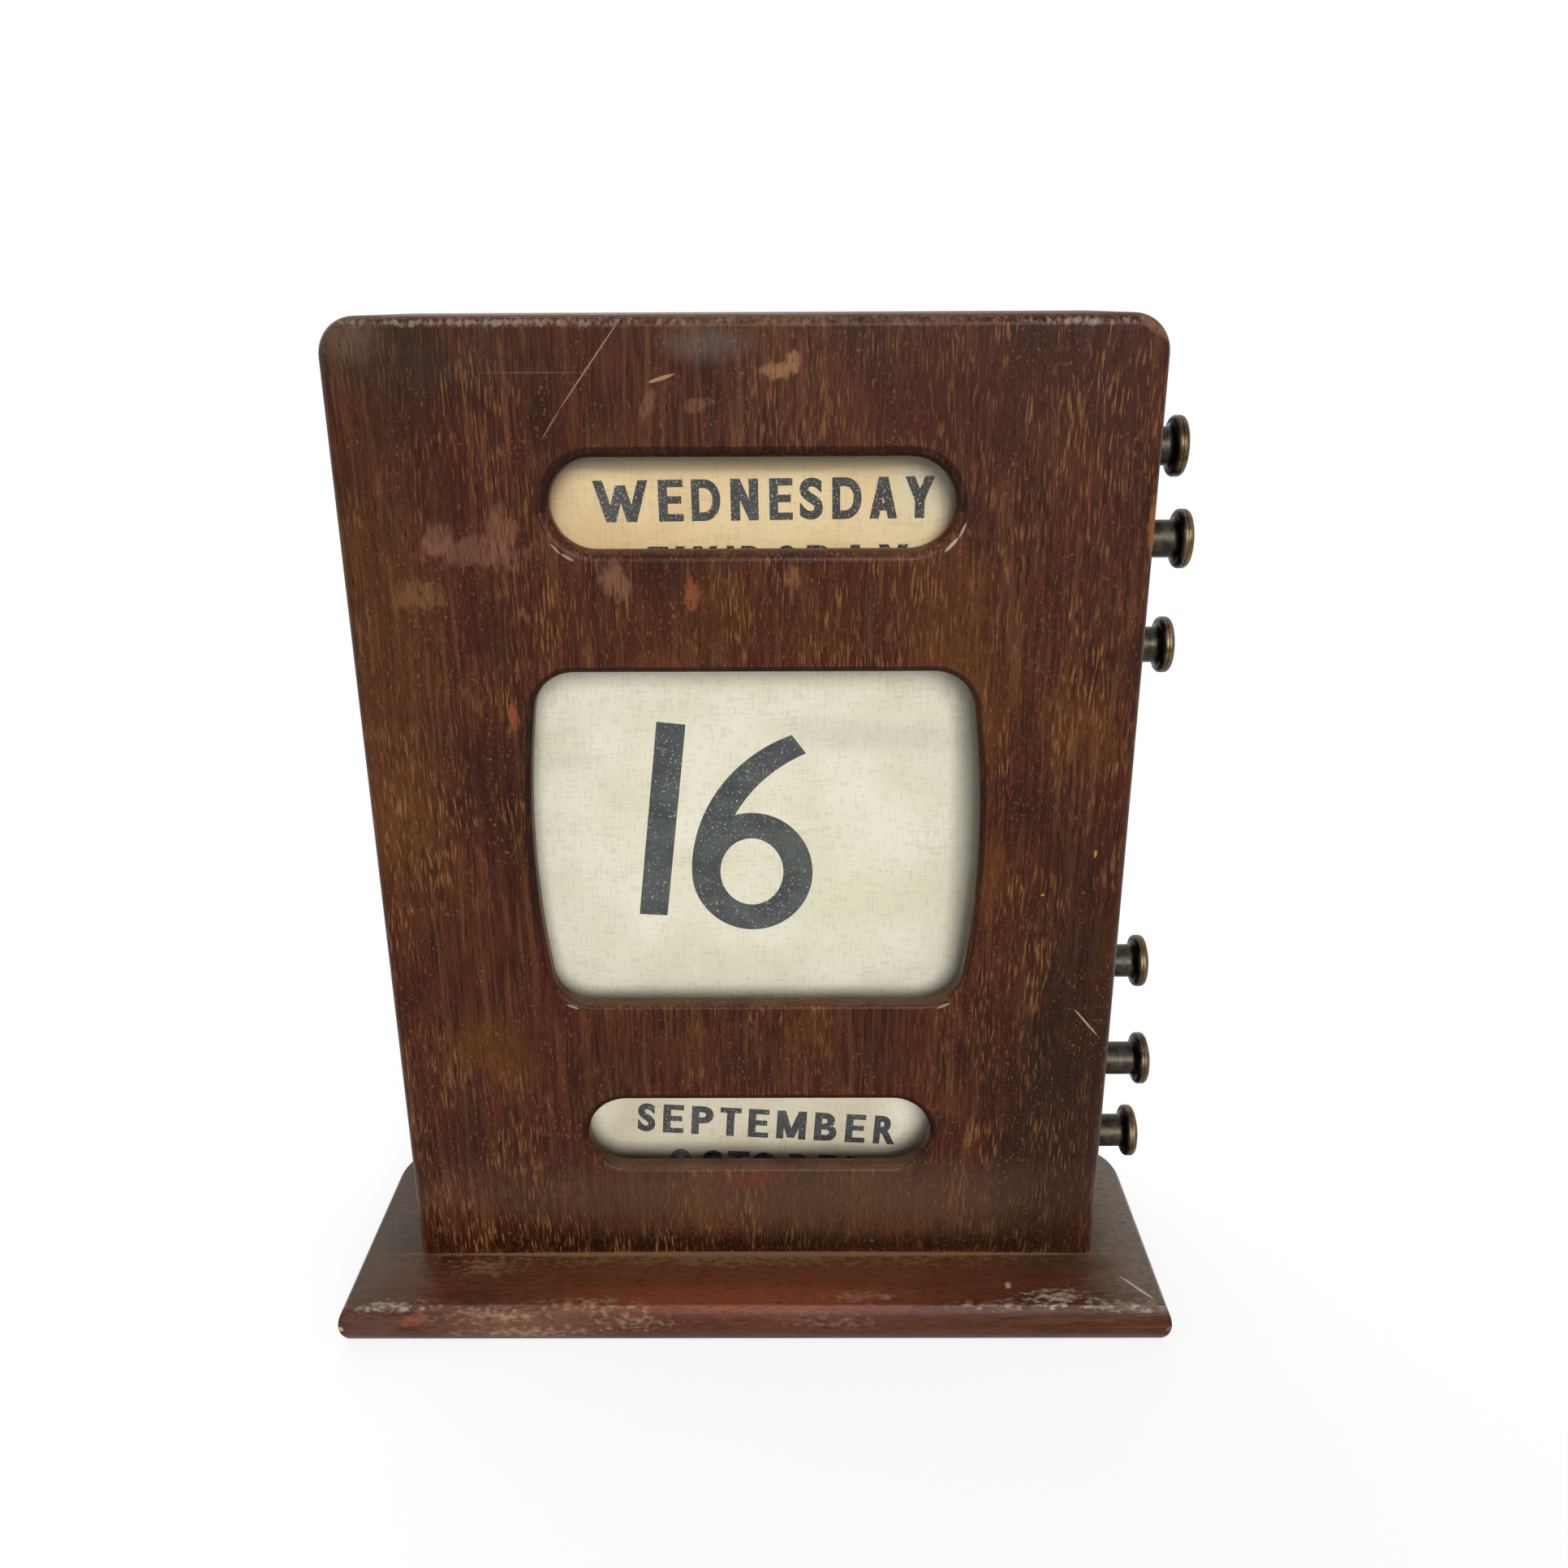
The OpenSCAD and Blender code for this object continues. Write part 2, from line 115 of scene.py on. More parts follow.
def select_end(piece: Piece, *towards: float) -> None:
    """Turn all faces outwards, then select the end that lies furthest one way, in edit mode.

    Args:
        piece: Object in edit mode.
        towards: Direction in which the end lies.
    """
    bpy.ops.mesh.select_all(action="SELECT")
    bpy.ops.mesh.normals_make_consistent(inside=False)
    bpy.ops.mesh.select_mode(type="FACE")
    bpy.ops.mesh.select_all(action="DESELECT")
    bpy.ops.object.mode_set(mode="OBJECT")
    reach = [face.center @ Vector(towards) for face in piece.data.polygons]
    for face, far in zip(piece.data.polygons, reach):
        face.select = far > max(reach) - END_T * MM
    bpy.ops.object.mode_set(mode="EDIT")


def push(*offset: float) -> None:
    """Extrude what is selected in edit mode by an offset in millimetres."""
    bpy.ops.mesh.extrude_region_move(TRANSFORM_OT_translate={"value": metres(*offset)})


def inset(steps: Iterable[Point]) -> None:
    """Inset the selected face again and again, by steps inwards and out along its normal."""
    for inwards, outwards in steps:
        bpy.ops.mesh.inset(thickness=inwards * MM, depth=outwards * MM, use_even_offset=True)


def differences(points: Sequence[Point]) -> list[Point]:
    """Return the steps from each point to the next."""
    return [(b[0] - a[0], b[1] - a[1]) for a, b in zip(points, points[1:])]


def quarter(radius: float, steps: int) -> list[Point]:
    """Return the inset steps of a convex quarter round from a side on to a face."""
    turns = [math.pi / 2 * i / steps for i in range(steps + 1)]
    return differences([(radius * (1 - math.cos(t)), radius * math.sin(t)) for t in turns])


def flare(radius: float, steps: int) -> list[Point]:
    """Return the inset steps of a cutter that narrows into a hole with a rounded lip."""
    turns = [math.pi / 2 * i / steps for i in range(steps + 1)]
    return differences([(radius * math.sin(t), radius * (1 - math.cos(t))) for t in turns])


class Plane(Enum):
    """Plane that an outline is drawn in: its two axes and the axis that it turns about."""

    PLAN = ((1, 0, 0), (0, 1, 0), (0, 0, 1))
    FRONT = ((1, 0, 0), (0, 0, 1), (0, -1, 0))
    SECTION = ((0, 1, 0), (0, 0, 1), (1, 0, 0))

    def place(self, point: Point, level: float) -> Vector:
        """Return a drawn point in metres, at a level along the third axis.

        Args:
            point: Place along the first and second axis.
            level: Place along the third.

        Returns:
            The point in space.
        """
        u, v, w = (Vector(axis) for axis in self.value)
        third = Vector(abs(c) for c in w)
        return (u * point[0] + v * point[1] + third * level) * MM


class Outline:
    """Line drawn from a start point along straights and arcs, in a new mesh."""

    def __init__(self, name: str, plane: Plane, start: Point, level: float = 0.0) -> None:
        """Start the line.

        Args:
            name: Name of the new object.
            plane: Plane of the drawing.
            start: First point.
            level: Place of the drawing along the plane's third axis.
        """
        deselect_all()
        bpy.ops.mesh.primitive_plane_add(size=MM, location=plane.place(start, level))
        self.piece = bpy.context.object
        self.piece.name = name
        bpy.ops.object.transform_apply(location=True, rotation=True, scale=True)
        bpy.ops.object.mode_set(mode="EDIT")
        bpy.ops.mesh.select_mode(type="VERT")
        bpy.ops.mesh.merge(type="CENTER")
        self.plane, self.level, self.at = plane, level, start

    def line(self, *points: Point) -> Outline:
        """Go straight to each point in turn.

        Args:
            points: The points.

        Returns:
            The outline itself.
        """
        for point in points:
            step = self.plane.place(point, 0) - self.plane.place(self.at, 0)
            bpy.ops.mesh.extrude_region_move(TRANSFORM_OT_translate={"value": step})
            self.at = point
        return self

    def arc(self, centre: Point, degrees: float, steps: int = 12) -> Outline:
        """Turn about a centre.

        Args:
            centre: Centre of the arc.
            degrees: Angle turned, positive from the first axis to the second.
            steps: Number of straight steps that make up the arc.

        Returns:
            The outline itself.
        """
        bpy.ops.mesh.spin(
            steps=steps,
            angle=-math.radians(degrees),
            center=self.plane.place(centre, self.level),
            axis=self.plane.value[2],
            use_auto_merge=False,
        )
        u, v = self.at[0] - centre[0], self.at[1] - centre[1]
        c, s = math.cos(math.radians(degrees)), math.sin(math.radians(degrees))
        self.at = (centre[0] + u * c - v * s, centre[1] + u * s + v * c)
        return self

    def fill(self) -> Outline:
        """Close the line and fill it with one face.

        Returns:
            The outline itself.
        """
        bpy.ops.mesh.select_all(action="SELECT")
        bpy.ops.mesh.remove_doubles(threshold=MERGE)
        bpy.ops.mesh.edge_face_add()
        return self

    def finish(self) -> Piece:
        """Leave edit mode and return the object.

        Returns:
            The object, with its faces turned outwards.
        """
        bpy.ops.mesh.select_all(action="SELECT")
        bpy.ops.mesh.remove_doubles(threshold=MERGE)
        bpy.ops.mesh.normals_make_consistent(inside=False)
        bpy.ops.object.mode_set(mode="OBJECT")
        return self.piece


def block(name: str, low: Triple, high: Triple, arris: float = 0.0) -> Piece:
    """Make a box with softened edges.

    Args:
        name: Name of the new object.
        low: Lowest corner, in millimetres.
        high: Highest corner, in millimetres.
        arris: Width of the rounding along every edge.

    Returns:
        The new object.
    """
    deselect_all()
    bpy.ops.mesh.primitive_cube_add(size=1)
    piece = bpy.context.object
    piece.name = name
    piece.scale = metres(*(b - a for a, b in zip(low, high)))
    piece.location = metres(*((a + b) / 2 for a, b in zip(low, high)))
    bpy.ops.object.transform_apply(location=True, rotation=True, scale=True)
    if arris:
        bpy.ops.object.mode_set(mode="EDIT")
        bpy.ops.mesh.bevel(offset=arris * MM, segments=3)
        bpy.ops.object.mode_set(mode="OBJECT")
    return piece


def disc(name: str, plane: Plane, middle: Point, radius: float, level: float, steps: int) -> Outline:
    """Draw a filled circle at a level along the plane's third axis, in straight steps."""
    line = Outline(name, plane, (middle[0] + radius, middle[1]), level)
    return line.arc(middle, 360, steps).fill()


def modify(piece: Piece, kind: str, **settings: object) -> None:
    """Add a modifier, set it and apply it.

    Args:
        piece: Object that it changes.
        kind: Blender's type of modifier.
        settings: Values of its properties.
    """
    activate(piece)
    modifier = piece.modifiers.new(kind.title(), kind)
    for name, value in settings.items():
        setattr(modifier, name, value)
    bpy.ops.object.modifier_apply(modifier=modifier.name)


def cut(piece: Piece, *tools: Piece, how: str = "DIFFERENCE") -> None:
    """Cut other objects out of a piece, or join them to it, and delete them.

    Args:
        piece: The piece that stays.
        tools: The other objects.
        how: DIFFERENCE to cut, UNION to join.
    """
    for tool in tools:
        modify(piece, "BOOLEAN", operation=how, solver="EXACT", object=tool)
        bpy.data.objects.remove(tool)


def join(name: str, pieces: Sequence[Piece]) -> Piece:
    """Join pieces into one object and name it.

    Args:
        name: Name of that object.
        pieces: The pieces, of which the first takes in the rest.

    Returns:
        The object.
    """
    activate(pieces[0])
    for piece in pieces[1:]:
        piece.select_set(True)
    bpy.ops.object.join()
    pieces[0].name = name
    return pieces[0]


def smooth(piece: Piece, degrees: float = 30.0) -> Piece:
    """Shade a piece smooth and keep its flats flat.

    Args:
        piece: The piece.
        degrees: Angle from which two faces meet in a sharp edge.

    Returns:
        The same piece.
    """
    activate(piece)
    bpy.ops.object.shade_smooth_by_angle(angle=math.radians(degrees))
    modify(piece, "WEIGHTED_NORMAL", keep_sharp=True, weight=100)
    return piece


def moved_copy(piece: Piece, name: str, offset: Triple) -> Piece:
    """Copy a piece with its own mesh, moved by an offset in millimetres.

    Args:
        piece: The original.
        name: Name of the copy.
        offset: How far its mesh is moved.

    Returns:
        The copy.
    """
    copy = piece.copy()
    copy.data = piece.data.copy()
    copy.data.transform(Matrix.Translation(metres(*offset)))
    copy.name = name
    bpy.context.scene.collection.objects.link(copy)
    return copy


# ---- finishes ----


def colour(hex_code: str) -> tuple[float, float, float, float]:
    """Turn an sRGB hex code into a linear colour with full alpha.

    Args:
        hex_code: Colour such as #4c2716.

    Returns:
        Red, green, blue and alpha, from 0 to 1.
    """
    parts = (int(hex_code[i : i + 2], 16) / 255 for i in (1, 3, 5))
    red, green, blue = (c / 12.92 if c <= 0.04045 else ((c + 0.055) / 1.055) ** 2.4 for c in parts)
    return red, green, blue, 1.0


class Node(Enum):
    """Nodes in use: type, inputs that values fill in turn, output, a setting and its choice."""

    PLACE = ("TexCoord", (), "Object")
    MAPPING = ("Mapping", ("Vector", "Scale", "Location"))
    WITHIN = ("Mapping", ("Vector", "Scale", "Location", "Rotation"), 0, "vector_type", "TEXTURE")
    NOISE = ("TexNoise", ("Vector", "Detail", "Scale"))
    NORMAL = ("NewGeometry", (), "Normal")
    UPWARD = ("SeparateXYZ", (0,), "Z")
    SLANT = ("LayerWeight", ("Blend",), "Facing")
    LIGHT_PATH = ("LightPath", (), "Is Camera Ray")
    STRETCHED = ("VectorMath", (0, "Scale"), 0, "operation", "SCALE")
    MOVED = ("VectorMath", (0, 1), 0, "operation", "ADD")
    LENGTH = ("VectorMath", (0,), "Value", "operation", "LENGTH")
    SUM = ("Math", (0, 1), 0, "operation", "ADD")
    PRODUCT = ("Math", (0, 1), 0, "operation", "MULTIPLY")
    PRODUCT_SUM = ("Math", (0, 1, 2), 0, "operation", "MULTIPLY_ADD")
    POWER = ("Math", (0, 1), 0, "operation", "POWER")
    LARGER = ("Math", (0, 1), 0, "operation", "MAXIMUM")
    RANGE = ("MapRange", ("Value", "To Min", "To Max"))
    RISE = ("MapRange", ("Value", "From Min", "From Max", "To Max"), 0,
            "interpolation_type", "SMOOTHSTEP")
    BLEND = ("Mix", (0, 6, 7), 2, "data_type", "RGBA")
    BUMP = ("Bump", ("Height", "Strength", "Distance"))
    PRINCIPLED = ("BsdfPrincipled",)
    DIFFUSE = ("BsdfDiffuse", ("Color",))
    CLEAR = ("BsdfTransparent", ("Color",))
    SHINE = ("BsdfGlossy", ("Color", "Roughness"))
    GLOW = ("Emission", ("Color", "Strength"))
    BACKDROP = ("Background", ("Color", "Strength"))
    EITHER = ("MixShader", (0, 1, 2))
    BOTH = ("AddShader", (0, 1))
    SURFACE = ("OutputMaterial", ("Surface",))
    SKY = ("OutputWorld", ("Surface",))

    def __init__(
        self, kind: str, inputs: tuple = (), out: int | str = 0, setting: str = "", choice: str = ""
    ) -> None:
        """Keep the parts of a row under their names."""
        self.kind, self.inputs, self.out = kind, inputs, out
        self.setting, self.choice = setting, choice


class Graph:
    """Node tree of one material, with the piece's own place in millimetres at hand."""

    def __init__(self, name: str = "", tree: bpy.types.NodeTree | None = None) -> None:
        """Start an empty material, or empty another node tree.

        Args:
            name: Name of the new material, if there is one.
            tree: Tree to use instead of a new material's.
        """
        if tree is None:
            self.material = bpy.data.materials.new(name)
            self.material.use_nodes = True
            tree = self.material.node_tree
        self.tree = tree
        self.tree.nodes.clear()
        self.mm = self.add(Node.STRETCHED, self.add(Node.PLACE), 1 / MM)

    def add(
        self, node: Node, *values: Input, out: int | str | None = None, **named: Input
    ) -> Socket | None:
        """Add a node with its setting, and link or fill its inputs.

        Args:
            node: The node.
            values: Sockets, numbers, vectors or hex colours for its usual inputs, in turn.
            out: Output to return, where it isn't the usual one.
            named: The same for other inputs, by name, with underscores for spaces.

        Returns:
            The output socket, or None for a node without one.
        """
        made = self.tree.nodes.new(f"ShaderNode{node.kind}")
        if node.setting:
            setattr(made, node.setting, node.choice)
        others = [(name.replace("_", " "), value) for name, value in named.items()]
        for name, value in [*zip(node.inputs, values), *others]:
            if isinstance(value, Socket):
                self.tree.links.new(value, made.inputs[name])
            else:
                made.inputs[name].default_value = colour(value) if isinstance(value, str) else value
        return made.outputs[node.out if out is None else out] if len(made.outputs) else None

    def pattern(
        self, size: Triple, detail: float = 2.0, seed: float = 0.0, out: int | str = 0
    ) -> Socket:
        """Return soft random noise.

        Args:
            size: How large its blobs are along each axis, in millimetres.
            detail: Number of finer layers in it.
            seed: Which stretch of the endless noise the piece has.
            out: Output to return, where it isn't the plain value.

        Returns:
            The noise, from 0 to 1.
        """
        scale = tuple(1 / s for s in size)
        place = self.add(Node.MAPPING, self.mm, scale, (seed, 2 * seed, 3 * seed))
        return self.add(Node.NOISE, place, detail, 1.0, out=out)

    def where(self, *spans: tuple) -> Socket:
        """Return a share that is high where several values all are.

        Args:
            spans: For each value, itself, where its share is 0, where it is full, and the
                full share if that isn't 1.

        Returns:
            The product of their shares.
        """
        share, *others = (self.add(Node.RISE, *span) for span in spans)
        for other in others:
            share = self.add(Node.PRODUCT, share, other)
        return share

    def coats(self, tone: Socket | str, *coats: tuple) -> Socket:
        """Lay coats of colour over a tone.

        Args:
            tone: Colour underneath.
            coats: For each coat, the value that decides where it lies, where its share is 0,
                where it is full, the full share, and its colour.

        Returns:
            The colour on top.
        """
        for *span, over in coats:
            tone = self.add(Node.BLEND, self.where(span), tone, over)
        return tone

    def surface(self, **inputs: Input) -> Material:
        """Finish the material with one Principled shader, given its inputs by name."""
        self.add(Node.SURFACE, self.add(Node.PRINCIPLED, **inputs))
        return self.material


class Edge(Enum):
    """How a mark looks: how far noise shifts its edge, its softness, which noise, its reach."""

    SOFT = (0.5, 0.55, 1, 0.75)
    PATCHY = (1.6, 0.3, 1, 0.75)
    CRISP = (0.35, 0.12, 0, 0.75)
    FLAKED = (3.2, 0.6, 2, 0.3)
    VEIL = (0.4, 0.5, 1, 0.75)

    def on_top(self) -> bool:
        """Tell whether the mark lies over the wood's flecks and pores."""
        return self in (Edge.CRISP, Edge.FLAKED, Edge.VEIL)


@dataclass(frozen=True)
class Mark:
    """Stain, scuff, scratch, painted shade or painted highlight: an ellipsoid in which the colour
    changes.
    """

    edge: Edge
    at: Triple
    half: Triple
    tone: str
    strength: float
    turn: Triple = (0.0, 0.0, 0.0)

    def over(self, tone: Socket, g: Graph, rags: Sequence[Socket]) -> Socket:
        """Return a tone with the mark over it.

        Args:
            tone: Colour underneath.
            g: Graph that takes the nodes.
            rags: Streaky, blotchy and fine noise that make the mark's edge uneven.

        Returns:
            The colour on top.
        """
        turn = tuple(math.radians(a) for a in self.turn)
        reach = g.add(Node.LENGTH, g.add(Node.WITHIN, g.mm, self.half, self.at, turn))
        shift, spread, which, full = self.edge.value
        uneven = g.add(Node.PRODUCT_SUM, rags[which], shift, reach)
        middle = full + shift / 2
        return g.coats(tone, (uneven, middle + spread, middle - spread, self.strength, self.tone))


def marks(edge: Edge, *rows: tuple) -> tuple[Mark, ...]:
    """Return marks of one look, given each one's place, half size, tone, strength and turn."""
    return tuple(Mark(edge, *row) for row in rows)


def face_marks(edge: Edge, y: float, depth: float, *rows: tuple) -> tuple[Mark, ...]:
    """Return marks of one look on an upright face.

    Args:
        edge: How they look.
        y: Where the face lies.
        depth: Half the depth that they reach.
        rows: For each, its middle in x and z, half its width and height, its tone, its
            strength and, if it leans, how many degrees its top leans to the right.

    Returns:
        The marks.
    """
    return tuple(
        Mark(edge, (x, y, z), (wide, depth, tall), tone, strength, (0, lean[0] if lean else 0, 0))
        for x, z, wide, tall, tone, strength, *lean in rows
    )


class Grain(Enum):
    """Axis that the wood's grain runs along."""

    UPRIGHT = 2
    LEVEL = 0

    def size(self, across: float, along: float) -> Triple:
        """Return a pattern's size along each axis, given its size across and along the grain.

        Args:
            across: Size across the grain, in millimetres.
            along: Size along it.

        Returns:
            Sizes along x, y and z.
        """
        sizes = [across, across, across]
        sizes[self.value] = along
        return tuple(sizes)


@dataclass(frozen=True)
class Mahogany:
    """Stained mahogany under old shellac: red-brown with fine golden flecks, satin, and worn."""

    name: str
    grain: Grain
    marks: tuple[Mark, ...] = ()
    seed: float = 0.0
    dust: float = 0.5
    # share of near black laid over the whole surface: painted shade
    stain_and_painted_shade: float = 0.0
    flecked: float = 1.0

    def make(self) -> Material:
        """Build the material.

        Returns:
            The material.
        """
        g, seed, size = Graph(self.name), self.seed, self.grain.size
        # the grain wanders sideways by about half a millimetre
        wander = g.add(Node.STRETCHED, g.pattern((20, 20, 20), out="Color"), 1.6)
        straight = g.mm
        g.mm = g.add(Node.MOVED, g.mm, wander)
        fibre = g.pattern(size(0.5, 11), 4, seed)
        streak = g.pattern(size(1.1, 30), 2, seed + 37)
        band = g.pattern(size(9, 60), 2, seed + 5)
        cloud = g.pattern(size(17, 26), 4, seed + 9)
        # flecks and pores are really 0.1 mm wide, and are drawn wider to show
        fleck = g.pattern(size(0.42, 3.8), 2, seed + 13)
        grit = g.pattern(size(0.4, 0.9), 2, seed + 29)
        pore = g.pattern(size(0.24, 2.6), 2, seed + 17)
        cluster = g.pattern(size(5, 13), 2, seed + 25)
        gold = g.pattern(size(26, 34), 2, seed + 41)
        rags = [
            g.pattern(size(across, along), 4, seed + step)
            for across, along, step in ((0.8, 6, 21), (1.7, 2.6, 33), (0.9, 1.7, 49))
        ]
        g.mm = straight
        tone = g.coats(
            "#280f07",
            (fibre, 0.34, 0.68, 1.0, "#4c2716"),
            (streak, 0.48, 0.7, 0.5, "#6a4229"),
            (band, 0.42, 0.7, 0.45, "#4b1d12"),
            (cloud, 0.5, 0.68, 0.6, "#240e06"),
            (cloud, 0.48, 0.3, 0.5, "#5e3716"),
        )
        for mark in self.marks:
            if not mark.edge.on_top():
                tone = mark.over(tone, g, rags)
        flecks = g.where((fleck, 0.5, 0.68), (cluster, 0.38, 0.6, 0.8), (gold, 0.3, 0.58, self.flecked))
        tone = g.add(Node.BLEND, flecks, tone, "#835834")
        grits = g.where((grit, 0.58, 0.74), (cluster, 0.6, 0.35, 0.6 * self.flecked))
        tone = g.add(Node.BLEND, grits, tone, "#8d6347")
        pores = g.where((pore, 0.44, 0.3, 0.7))
        tone = g.add(Node.BLEND, pores, tone, "#1c0a04")
        for mark in self.marks:
            if mark.edge.on_top():
                tone = mark.over(tone, g, rags)
        # painted shade: near black over everything, in the share set for the windows' lips
        tone = g.add(Node.BLEND, self.stain_and_painted_shade, tone, "#150905")
        # dust settles on what faces up, and dulls it
        up = g.add(Node.UPWARD, g.add(Node.NORMAL))
        drift = g.pattern((6, 6, 6), 6, seed + 45)
        settled = g.where((up, 0.55, 1.0), (drift, 0.0, 0.9, self.dust))
        tone = g.add(Node.BLEND, settled, tone, "#75604c")
        gloss = g.add(Node.PRODUCT_SUM, settled, 0.5, 0.36)
        height = g.add(Node.PRODUCT_SUM, pores, -0.8, fibre)
        bump = g.add(Node.BUMP, height, 0.35, 0.06 * MM)
        return g.surface(Base_Color=tone, Roughness=gloss, Normal=bump, Specular_IOR_Level=0.1)


@dataclass(frozen=True)
class AgedBrass:
    """Turned brass gone dark with age: a bronze skin over fine turning lines."""

    name: str
    deep: str
    light: str
    rubbed: str
    rough: float = 0.24

    def make(self) -> Material:
        """Build the material.

        Returns:
            The material.
        """
        g = Graph(self.name)
        skin, turned = g.pattern((2.2, 2.2, 2.2), 4), g.pattern((0.14, 6, 6), 2, 3)
        tone = g.coats(
            self.deep, (skin, 0.35, 0.65, 1.0, self.light), (turned, 0.5, 0.7, 0.45, self.rubbed)
        )
        rough = g.add(Node.SUM, g.where((skin, 0.3, 0.7, 0.2)), self.rough)
        bump = g.add(Node.BUMP, turned, 0.2, 0.03 * MM)
        return g.surface(Base_Color=tone, Metallic=1.0, Roughness=rough, Normal=bump)


@dataclass(frozen=True)
class PrintedLinen:
    """Close-woven linen, sized with starch and yellowed: matt, with a faint weave."""

    name: str
    pale: str
    deep: str
    marks: tuple[Mark, ...] = ()
    seed: float = 0.0

    def make(self) -> Material:
        """Build the material.

        Returns:
            The material.
        """
        g = Graph(self.name)
        # threads are 0.35 mm apart; each is drawn 0.5 mm wide to show
        warp = g.pattern((0.5, 0.5, 3), 0, self.seed + 7)
        weft = g.pattern((3, 0.5, 0.5), 0, self.seed + 9)
        weave = g.add(Node.SUM, warp, weft)
        stain_and_painted_shade = g.pattern((18, 18, 14), 3, self.seed + 4)
        tone = g.coats(self.pale, (stain_and_painted_shade, 0.35, 0.7, 1.0, self.deep))
        for mark in self.marks:
            tone = mark.over(tone, g, (stain_and_painted_shade, stain_and_painted_shade, stain_and_painted_shade))
        tone = g.coats(tone, (weave, 0.98, 0.66, 0.17, "#8f8468"))
        bump = g.add(Node.BUMP, weave, 0.15, 0.05 * MM)
        return g.surface(
            Base_Color=tone, Roughness=0.85, Normal=bump, Sheen_Weight=0.1, Specular_IOR_Level=0.2
        )


@dataclass(frozen=True)
class Ink:
    """Black printing ink on linen: greenish grey where it has faded, matt, speckled with wear."""

    name: str
    deep: str
    pale: str
    bare: str
    wear: float

    def make(self) -> Material:
        """Build the material.

        Returns:
            The material.
        """
        g = Graph(self.name)
        speck, faded = g.pattern((0.42, 0.42, 0.42), 1), g.pattern((5, 5, 5), 2, 7)
        worn = (speck, 0.62 - self.wear, 0.8 - self.wear, 0.6, self.bare)
        tone = g.coats(self.deep, (faded, 0.3, 0.7, 1.0, self.pale), worn)
        bump = g.add(Node.BUMP, speck, 0.1, 0.03 * MM)
        return g.surface(Base_Color=tone, Roughness=0.7, Normal=bump, Specular_IOR_Level=0.25)


@dataclass(frozen=True)
class WindowGlass:
    """Old window glass: clear, faintly green, with dust that dulls it a little."""

    name: str = "window_glass"

    def make(self) -> Material:
        """Build the material.

        Returns:
            The material.
        """
        g = Graph(self.name)
        clear, haze = g.add(Node.CLEAR, "#feffff"), g.add(Node.DIFFUSE, "#d8d4c8")
        shine = g.add(Node.SHINE, "#ffffff", 0.06)
        # a pane reflects about 2% from the front, and more and more at a slant
        slant = g.add(Node.POWER, g.add(Node.SLANT, 0.5), 5.0)
        share = g.add(Node.PRODUCT_SUM, slant, 0.7, 0.02)
        pane = g.add(Node.EITHER, share, clear, shine)
        film = g.where((g.pattern((9, 9, 14), 4), 0.45, 0.85, 0.04))
        g.add(Node.SURFACE, g.add(Node.EITHER, film, pane, haze))
        return g.material


@dataclass(frozen=True)
class Pine:
    """Plain sawn pine: pale yellow-brown, matt, with soft grain along x."""

    name: str = "pine"

    def make(self) -> Material:
        """Build the material.

        Returns:
            The material.
        """
        g = Graph(self.name)
        grain = g.pattern((60, 1.6, 1.6), 4)
        tone = g.coats("#b98f5c", (grain, 0.35, 0.68, 1.0, "#93683a"))
        bump = g.add(Node.BUMP, grain, 0.3, 0.1 * MM)
        return g.surface(Base_Color=tone, Roughness=0.7, Normal=bump)


@dataclass(frozen=True)
class Steel:
    """Drawn mild steel: grey, dulled, with a faint brown bloom of rust."""

    name: str = "steel"

    def make(self) -> Material:
        """Build the material.

        Returns:
            The material.
        """
        g = Graph(self.name)
        bloom = g.pattern((1.5, 1.5, 1.5), 4)
        tone = g.coats("#8d8d8b", (bloom, 0.5, 0.75, 0.6, "#5f4633"))
        rough = g.where((bloom, 0.3, 0.8, 0.6))
        return g.surface(Base_Color=tone, Metallic=1.0, Roughness=rough)


@dataclass(frozen=True)
class Felt:
    """Pressed wool felt: soft grey-green with a fuzzy, matt face."""

    name: str = "felt"

    def make(self) -> Material:
        """Build the material.

        Returns:
            The material.
        """
        g = Graph(self.name)
        fuzz = g.pattern((0.3, 0.3, 0.3), 4)
        tone = g.coats("#4e4b3c", (fuzz, 0.3, 0.7, 1.0, "#6b6754"))
        bump = g.add(Node.BUMP, fuzz, 0.6, 0.2 * MM)
        return g.surface(Base_Color=tone, Roughness=0.95, Normal=bump, Sheen_Weight=0.4)


def dress(piece: Piece, material: Material) -> None:
    """Give a piece one material all over."""
    piece.data.materials.clear()
    piece.data.materials.append(material)


def seat(piece: Piece, body: str, slot: str, *nodes: str) -> None:
    """Put a finished piece on its body, in place of CAD nodes, and report it.

    Args:
        piece: The piece.
        body: Moving body that it rides on.
        slot: Finish slot; not used.
        nodes: CAD nodes that it replaces, if any.
    """
    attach(piece, body)
    if nodes:
        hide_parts(*nodes)
    log.info("%s: %d faces, on %s", piece.name, len(piece.data.polygons), body)


# ---- case and base ----


